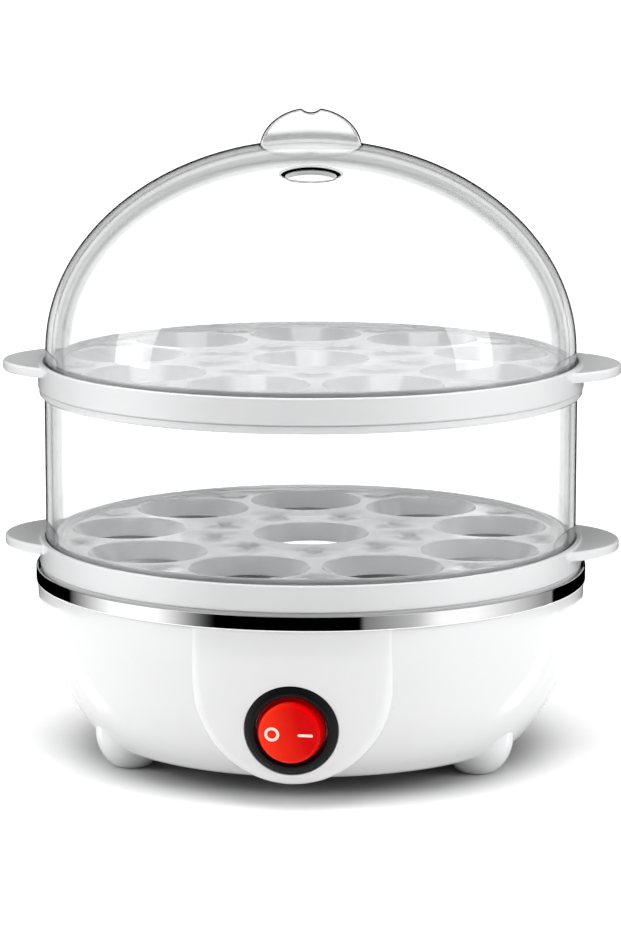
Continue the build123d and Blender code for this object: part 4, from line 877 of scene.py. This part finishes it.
def make_finishes(colours):
    """Every material, by the name of its slot in the record or of its piece."""
    steel = tuple(colours.steel)
    recipes = {
        "white_plastic": (moulded, colours.white, 0.14, 0.35),
        # Darker copy of the white plastic: painted shade on the trays.
        "tray_plastic": (moulded, colours.tray, 0.16, 0.25),
        "cover_plastic": (moulded, colours.cover, 0.42, 0.0, 0.08),
        "clear_plastic": (clear_plastic, colours.clear),
        "tab_plastic": (frosted_plastic, colours.clear, LID[1][2] - 12 * MM, LID[1][2]),
        "chrome_trim": (metal, colours.chrome, 0.035, "round", 0.01),
        "seal_rubber": (moulded, (0.72, 0.72, 0.71), 0.6, 0.0, 0.08),
        "dish_steel": (metal, steel, 0.24, "round", 0.12),
        "zinc_steel": (metal, [c * 0.9 for c in steel], 0.34),
        "element_tube": (metal, (0.42, 0.42, 0.43), 0.45),
        "thermostat_aluminium": (metal, (0.72, 0.72, 0.73), 0.3),
        "thermostat_phenolic": (moulded, (0.10, 0.05, 0.03), 0.5),
        "fuse_white": (moulded, (0.82, 0.81, 0.77), 0.2, 0.3),
        "contact_brass": (metal, (0.72, 0.52, 0.22), 0.25),
        "block_plastic": (moulded, (0.78, 0.76, 0.68), 0.35),
        "black_plastic": (moulded, colours.black, 0.22, 0.0, 0.008, 0.1),
        "red_lens": (red_lens, colours.red, colours.painted_glow_amber),
        "mark_cream": (moulded, colours.cream, 0.35),
        "plunger_nylon": (moulded, (0.76, 0.74, 0.66), 0.4),
        "wire_brown": (striped, (0.14, 0.05, 0.02), (0.16, 0.06, 0.025), 40.0),
        "wire_glass_sleeve": (striped, (0.70, 0.67, 0.58), (0.58, 0.55, 0.46), 260.0),
        "wire_blue": (striped, (0.02, 0.09, 0.38), (0.025, 0.11, 0.42), 40.0),
        "wire_green": (striped, (0.05, 0.30, 0.05), (0.70, 0.62, 0.05), 45.0),
        "lamp_glass": (moulded, (0.85, 0.42, 0.20), 0.08, 0.5),
    }
    for name, (kind, *values) in recipes.items():
        FINISHES[name] = kind(name, *values)


# ---- Operators -----------------------------------------------------------------------
class Make(bpy.types.Operator):
    """Base of the operators: one piece or group of like pieces each."""

    bl_options = {"REGISTER", "UNDO"}

    def execute(self, context):
        self.make(context.scene.boiler_sizes)
        return {"FINISHED"}


class MakeFinishes(Make):
    """Make the finishes and give them to the carried-over inner and small parts"""

    bl_idname = "boiler.finishes"
    bl_label = "Finishes"

    def make(self, sizes):
        make_finishes(bpy.context.scene.boiler_colours)
        for part in frame["record"]["subparts"]:
            node = frame["nodes"][part["node"]]
            node.data.materials.clear()
            node.data.materials.append(FINISHES[part["material_slot"]])


class MakeBowl(Make):
    """Make the bowl with its front panel, gland boss and rim"""

    bl_idname = "boiler.bowl"
    bl_label = "Bowl"

    def make(self, sizes):
        shells = [bowl_shell(), *panel_shells(sizes), pad_shell()]
        piece("bowl", shells, "base", "white_plastic", "body_shell")


class MakeFeet(Make):
    """Make the four feet"""

    bl_idname = "boiler.feet"
    bl_label = "Feet"

    def make(self, sizes):
        for name in ("front_left", "front_right", "rear_left", "rear_right"):
            low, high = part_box(f"{name}_foot_pad")
            middle = (low + high) / 2
            shell = foot_shell(sizes, middle.x, middle.y)
            piece(f"foot_{name}", [shell], "base", "white_plastic", f"{name}_foot")


class MakeTrim(Make):
    """Make the bright trim ring"""

    bl_idname = "boiler.trim"
    bl_label = "Trim ring"

    def make(self, sizes):
        outline = rounded(
            [(91.8, 58.3), (91.8, 63.1), (91.1, 63.1), (91.1, 59.0), (86.7, 59.0), (86.7, 58.3)],
            [0.4, 0.3, 0.15, 0.15, 0.15, 0.1],
        )
        shell = turned(outline * MM, 288, closed=True)
        piece("trim", [shell], "base", "chrome_trim", "trim_ring")


class MakeDish(Make):
    """Make the spun water dish"""

    bl_idname = "boiler.dish"
    bl_label = "Water dish"

    def make(self, sizes):
        outline = rounded(
            [
                (1e-3, 42.5), (44.0, 42.5), (45.5, 44.0), (72.0, 44.0), (86.2, 61.0), (90.6, 61.0),
                (90.6, 60.2), (86.6, 60.2), (72.4, 43.2), (45.9, 43.2), (44.4, 41.7), (1e-3, 41.7),
            ],
            [0, 1.0, 1.0, 4.0, 1.5, 0.3, 0.3, 1.0, 4.0, 1.0, 1.0, 0],
            7, False,
        )
        shell = turned(outline * MM, 288)
        piece("dish", [shell], "base", "dish_steel", "heating_dish")


class MakeGland(Make):
    """Make the cord gland at the back"""

    bl_idname = "boiler.gland"
    bl_label = "Cord gland"

    def make(self, sizes):
        outline = rounded(
            [(3.5, 70.0), (3.5, 89.7), (7.6, 89.7), (7.6, 87.2), (5.8, 87.2), (5.8, 70.0)],
            [0.1, 0.5, 0.8, 0.1, 0.1, 0.3],
        )
        shell = along_y(outline * MM, 64)
        piece("gland", [shell], "base", "black_plastic", "cord_gland")


class MakeSwitch(Make):
    """Make the switch's bezel with its well, and the red rocker"""

    bl_idname = "boiler.switch"
    bl_label = "Switch"

    def make(self, sizes):
        bezel = rounded(
            [
                (1e-3, -13.0), (11.55, -13.0), (11.55, 2.5), (13.0, 2.5), (14.7, 1.2), (14.7, 0.0),
                (12.9, 0.0), (12.9, -20.0), (11.55, -20.0), (11.55, -15.0), (1e-3, -15.0),
            ],
            [0, 0.2, 0.6, 1.6, 0.9, 0.1, 0.1, 0.2, 0.1, 0.1, 0],
            7, False,
        )
        shell = grid(switch_place(revolve(bezel * MM, 144)), wrap_cols=True)
        piece("bezel", [shell], "base", "black_plastic", "switch_housing")
        rocker = rounded(
            [
                (1e-3, 5.0), (8.9, 5.0), (9.9, 4.0), (9.9, 0.3), (10.95, 0.3), (10.95, -2.5),
                (1e-3, -2.5),
            ],
            [0, 0.35, 0.35, 0.2, 0.3, 0.2, 0],
            6, False,
        )
        shell = grid(rocker_place(revolve(rocker * MM, 144)), wrap_cols=True)
        piece("rocker", [shell], "rocker", "red_lens", "switch_rocker")


class MakeTrays(Make):
    """Make the two egg trays with their ears"""

    bl_idname = "boiler.trays"
    bl_label = "Egg trays"

    def make(self, sizes):
        for name, box in (("lower", LOWER), ("upper", UPPER)):
            lip = box[1][2] - RIDGE
            shells = tray_shells(sizes, lip)
            shells += [ear_shell(sizes, lip, side) for side in (-1, 1)]
            # The trays take the darker copy of the white plastic, as painted shade.
            piece(
                f"tray_{name}", shells, f"{name}_tray", "white_plastic", f"{name}_egg_tray",
                finish="tray_plastic",
            )


class MakeClearWall(Make):
    """Make the clear middle wall"""

    bl_idname = "boiler.wall"
    bl_label = "Clear wall"

    def make(self, sizes):
        outer, (low, high) = WALL[1][0], (WALL[0][2], WALL[1][2])
        inner = outer - sizes.clear_wall
        outline = rounded([(outer, low), (outer, high), (inner, high), (inner, low)], 0.4 * MM)
        shell = turned(outline, 288, closed=True)
        piece("middle_wall", [shell], "wall", "clear_plastic", "clear_wall")


class MakeLid(Make):
    """Make the clear dome with its steam vent and finger tab"""

    bl_idname = "boiler.lid"
    bl_label = "Lid"

    def make(self, sizes):
        dome, tab = dome_shell(sizes), tab_shell(sizes)
        piece("dome", [dome], "lid", "clear_plastic", "lid_dome", sharp=40.0)
        piece("tab", [tab], "lid", "clear_plastic", finish="tab_plastic", sharp=40.0)


class MakeStage(Make):
    """Make the floor, the studio's light and dark cards, the lamps, the world and the camera"""

    bl_idname = "boiler.stage"
    bl_label = "Stage"

    def make(self, sizes):
        make_floor()
        make_cards()
        make_lamps()
        make_world()
        make_camera()


def seen_directly(graph):
    """1 for what the camera sees directly, in gloss or through clear plastic, and 0 for light
    on its way to a matt surface."""
    camera, gloss = graph.ray("Is Camera Ray"), graph.ray("Is Glossy Ray")
    seen = camera + gloss + graph.ray("Is Transmission Ray")
    return seen.clamp() * (1 - graph.ray("Diffuse Depth").clamp())


def stage_mesh(name, points, faces, material):
    """Mesh object that belongs to the stage."""
    mesh = bpy.data.meshes.new(name)
    mesh.from_pydata(points, [], faces)
    mesh.materials.append(material)
    made = bpy.data.objects.new(name, mesh)
    bpy.context.scene.collection.objects.link(made)
    return made


def make_floor():
    """White floor that runs to the horizon and keeps the soft shadow, with a painted shadow
    besides: its colour is darker under and close round the object, where its glow is also kept
    off. A bright strip at each side only gloss shows."""
    graph = Graph(bpy.data.materials.new("floor"))
    x, y, _ = graph.xyz()
    out = (x * x + y * y).power(0.5)
    beside = ((x.math("ABSOLUTE") - STRIP_X) * 0.62 - y * 0.78).math("ABSOLUTE")
    ends = out.step(0.09, 0.11) * (1 - out.step(0.25, 0.32))
    strip = (1 - beside.step(0.003, 0.007)) * ends * STRIP
    # Painted shadow: the floor's colour falls from 0.8 to 0.33 under and close round the object.
    matt = graph.node("ShaderNodeBsdfDiffuse", {}, {
        "Color": graph.mix(out.step(0.05, 0.09), neutral(0.33), neutral(0.8)),
    })
    near, far, horizon = out.step(0.06, 0.11), out.step(0.2, 0.6), out.step(0.6, 2.0)
    strength = seen_directly(graph) * (near * 0.32 + far * 0.3 + horizon * 0.5)
    strength = strength + graph.ray("Is Glossy Ray") * strip
    glow = graph.node("ShaderNodeEmission", {}, {"Color": WHITE, "Strength": strength})
    material = graph.finish(graph.node("ShaderNodeAddShader", {}, [matt, glow]))
    r = 30.0
    corners = [(-r, -r, 0), (r, -r, 0), (r, r, 0), (-r, r, 0)]
    stage_mesh("floor", corners, [(0, 1, 2, 3)], material)


def make_cards():
    """Ring of cards that only gloss reflects. Angles in degrees run round it from straight ahead
    of the camera: dark ahead and behind, a soft light card at the left, and at the right one with
    a bright core, a long fade and hard ends."""
    graph = Graph(bpy.data.materials.new("cards"))
    x, y, _ = graph.xyz()
    turn = math.radians(VIEW_TURN)
    ahead = y * -math.cos(turn) + x * math.sin(turn)
    right = x * math.cos(turn) + y * math.sin(turn)
    angle = right.math("ARCTAN2", ahead) * (180 / math.pi)
    left_card = ((angle + LEFT_OUT) / LEFT_FADE).clamp() * (1 - angle.step(*LEFT_IN))
    fill = angle.step(*RIGHT_IN) * 0.2 + ((angle - RIGHT_IN[1]) / 15.0).clamp() * 0.25
    fade = 1 - ((angle - RIGHT_FADE[0]) / (RIGHT_FADE[1] - RIGHT_FADE[0])).clamp() * 0.73
    right_card = (fill + angle.step(*RIGHT_CORE) * 0.55) * fade * (1 - angle.step(*RIGHT_OUT))
    glow = left_card * 1.45 + right_card * 1.25
    card = graph.node("ShaderNodeEmission", {}, {"Color": WHITE, "Strength": glow})
    material = graph.finish(card)
    outline = np.array([(CARD_R, 0.001), (CARD_R, 1.2)])
    points, faces = grid(revolve(outline, 96), wrap_cols=True)
    cards = stage_mesh("cards", points.tolist(), faces.tolist(), material)
    cards.visible_camera = False
    cards.visible_diffuse = False
    cards.visible_transmission = False
    cards.visible_shadow = False


def make_lamp(name, place, target, width, height, power):
    """Rectangular soft lamp at a place, facing a target."""
    data = bpy.data.lights.new(name, "AREA")
    data.shape = "RECTANGLE"
    data.size, data.size_y, data.energy = width, height, power
    lamp = bpy.data.objects.new(name, data)
    lamp.location = place
    lamp.visible_glossy = False
    lamp.rotation_euler = (Vector(target) - Vector(place)).to_track_quat("-Z", "Y").to_euler()
    bpy.context.scene.collection.objects.link(lamp)
    return lamp


def make_lamps():
    """Soft lamps above and at both sides."""
    middle = (0, 0, 0.09)
    make_lamp("lamp_top", (0.0, -0.25, 1.3), middle, 1.1, 1.1, 16.5)
    make_lamp("lamp_left", (-1.3, -0.3, 0.5), middle, 0.5, 0.9, 9.2)
    make_lamp("lamp_right", (1.3, -0.3, 0.5), middle, 0.5, 0.9, 9.0)


def make_world():
    """Even white surroundings: full white where they are seen, plainer as light."""
    world = bpy.data.worlds.new("surroundings")
    bpy.context.scene.world = world
    graph = Graph(world)
    strength = seen_directly(graph) * 0.72 + 0.28
    shade = graph.node("ShaderNodeBackground", {}, {"Color": WHITE, "Strength": strength})
    graph.finish(shade, "World")


def make_camera():
    """Camera a little above the lid's height, looking slightly down."""
    data = bpy.data.cameras.new("camera")
    data.lens, data.sensor_width, data.shift_x = 141.03, 36.0, -0.00044
    data.clip_start, data.clip_end = 0.05, 100.0
    camera = bpy.data.objects.new("camera", data)
    turn = math.radians(VIEW_TURN)
    away, height = 1.2, 0.30082
    camera.location = (away * math.sin(turn), -away * math.cos(turn), height)
    camera.rotation_euler = (math.pi / 2 - 0.16966, 0, turn)
    bpy.context.scene.collection.objects.link(camera)
    bpy.context.scene.camera = camera
    bpy.context.scene.view_settings.view_transform = "Standard"


# ---- Panel and run -------------------------------------------------------------------
PIECES = (
    MakeFinishes, MakeBowl, MakeFeet, MakeTrim, MakeDish, MakeGland, MakeSwitch, MakeTrays,
    MakeClearWall, MakeLid, MakeStage,
)


class BoilerPanel(bpy.types.Panel):
    """The boiler's sizes, colours and pieces"""

    bl_idname = "VIEW3D_PT_egg_boiler"
    bl_label = "Egg Boiler"
    bl_space_type = "VIEW_3D"
    bl_region_type = "UI"
    bl_category = "Egg Boiler"

    def draw(self, context):
        layout = self.layout
        for group in (context.scene.boiler_sizes, context.scene.boiler_colours):
            box = layout.box()
            for key in group.__annotations__:
                box.prop(group, key)
        for operator in PIECES:
            layout.operator(operator.bl_idname)


def register():
    for kind in (BoilerSizes, BoilerColours, *PIECES, BoilerPanel):
        bpy.utils.register_class(kind)
    bpy.types.Scene.boiler_sizes = bpy.props.PointerProperty(type=BoilerSizes)
    bpy.types.Scene.boiler_colours = bpy.props.PointerProperty(type=BoilerColours)


def unregister():
    del bpy.types.Scene.boiler_colours
    del bpy.types.Scene.boiler_sizes
    for kind in (BoilerPanel, *reversed(PIECES), BoilerColours, BoilerSizes):
        bpy.utils.unregister_class(kind)


def main():
    register()
    for operator in PIECES:
        family, name = operator.bl_idname.split(".")
        getattr(getattr(bpy.ops, family), name)()


if __name__ == "__main__":
    main()
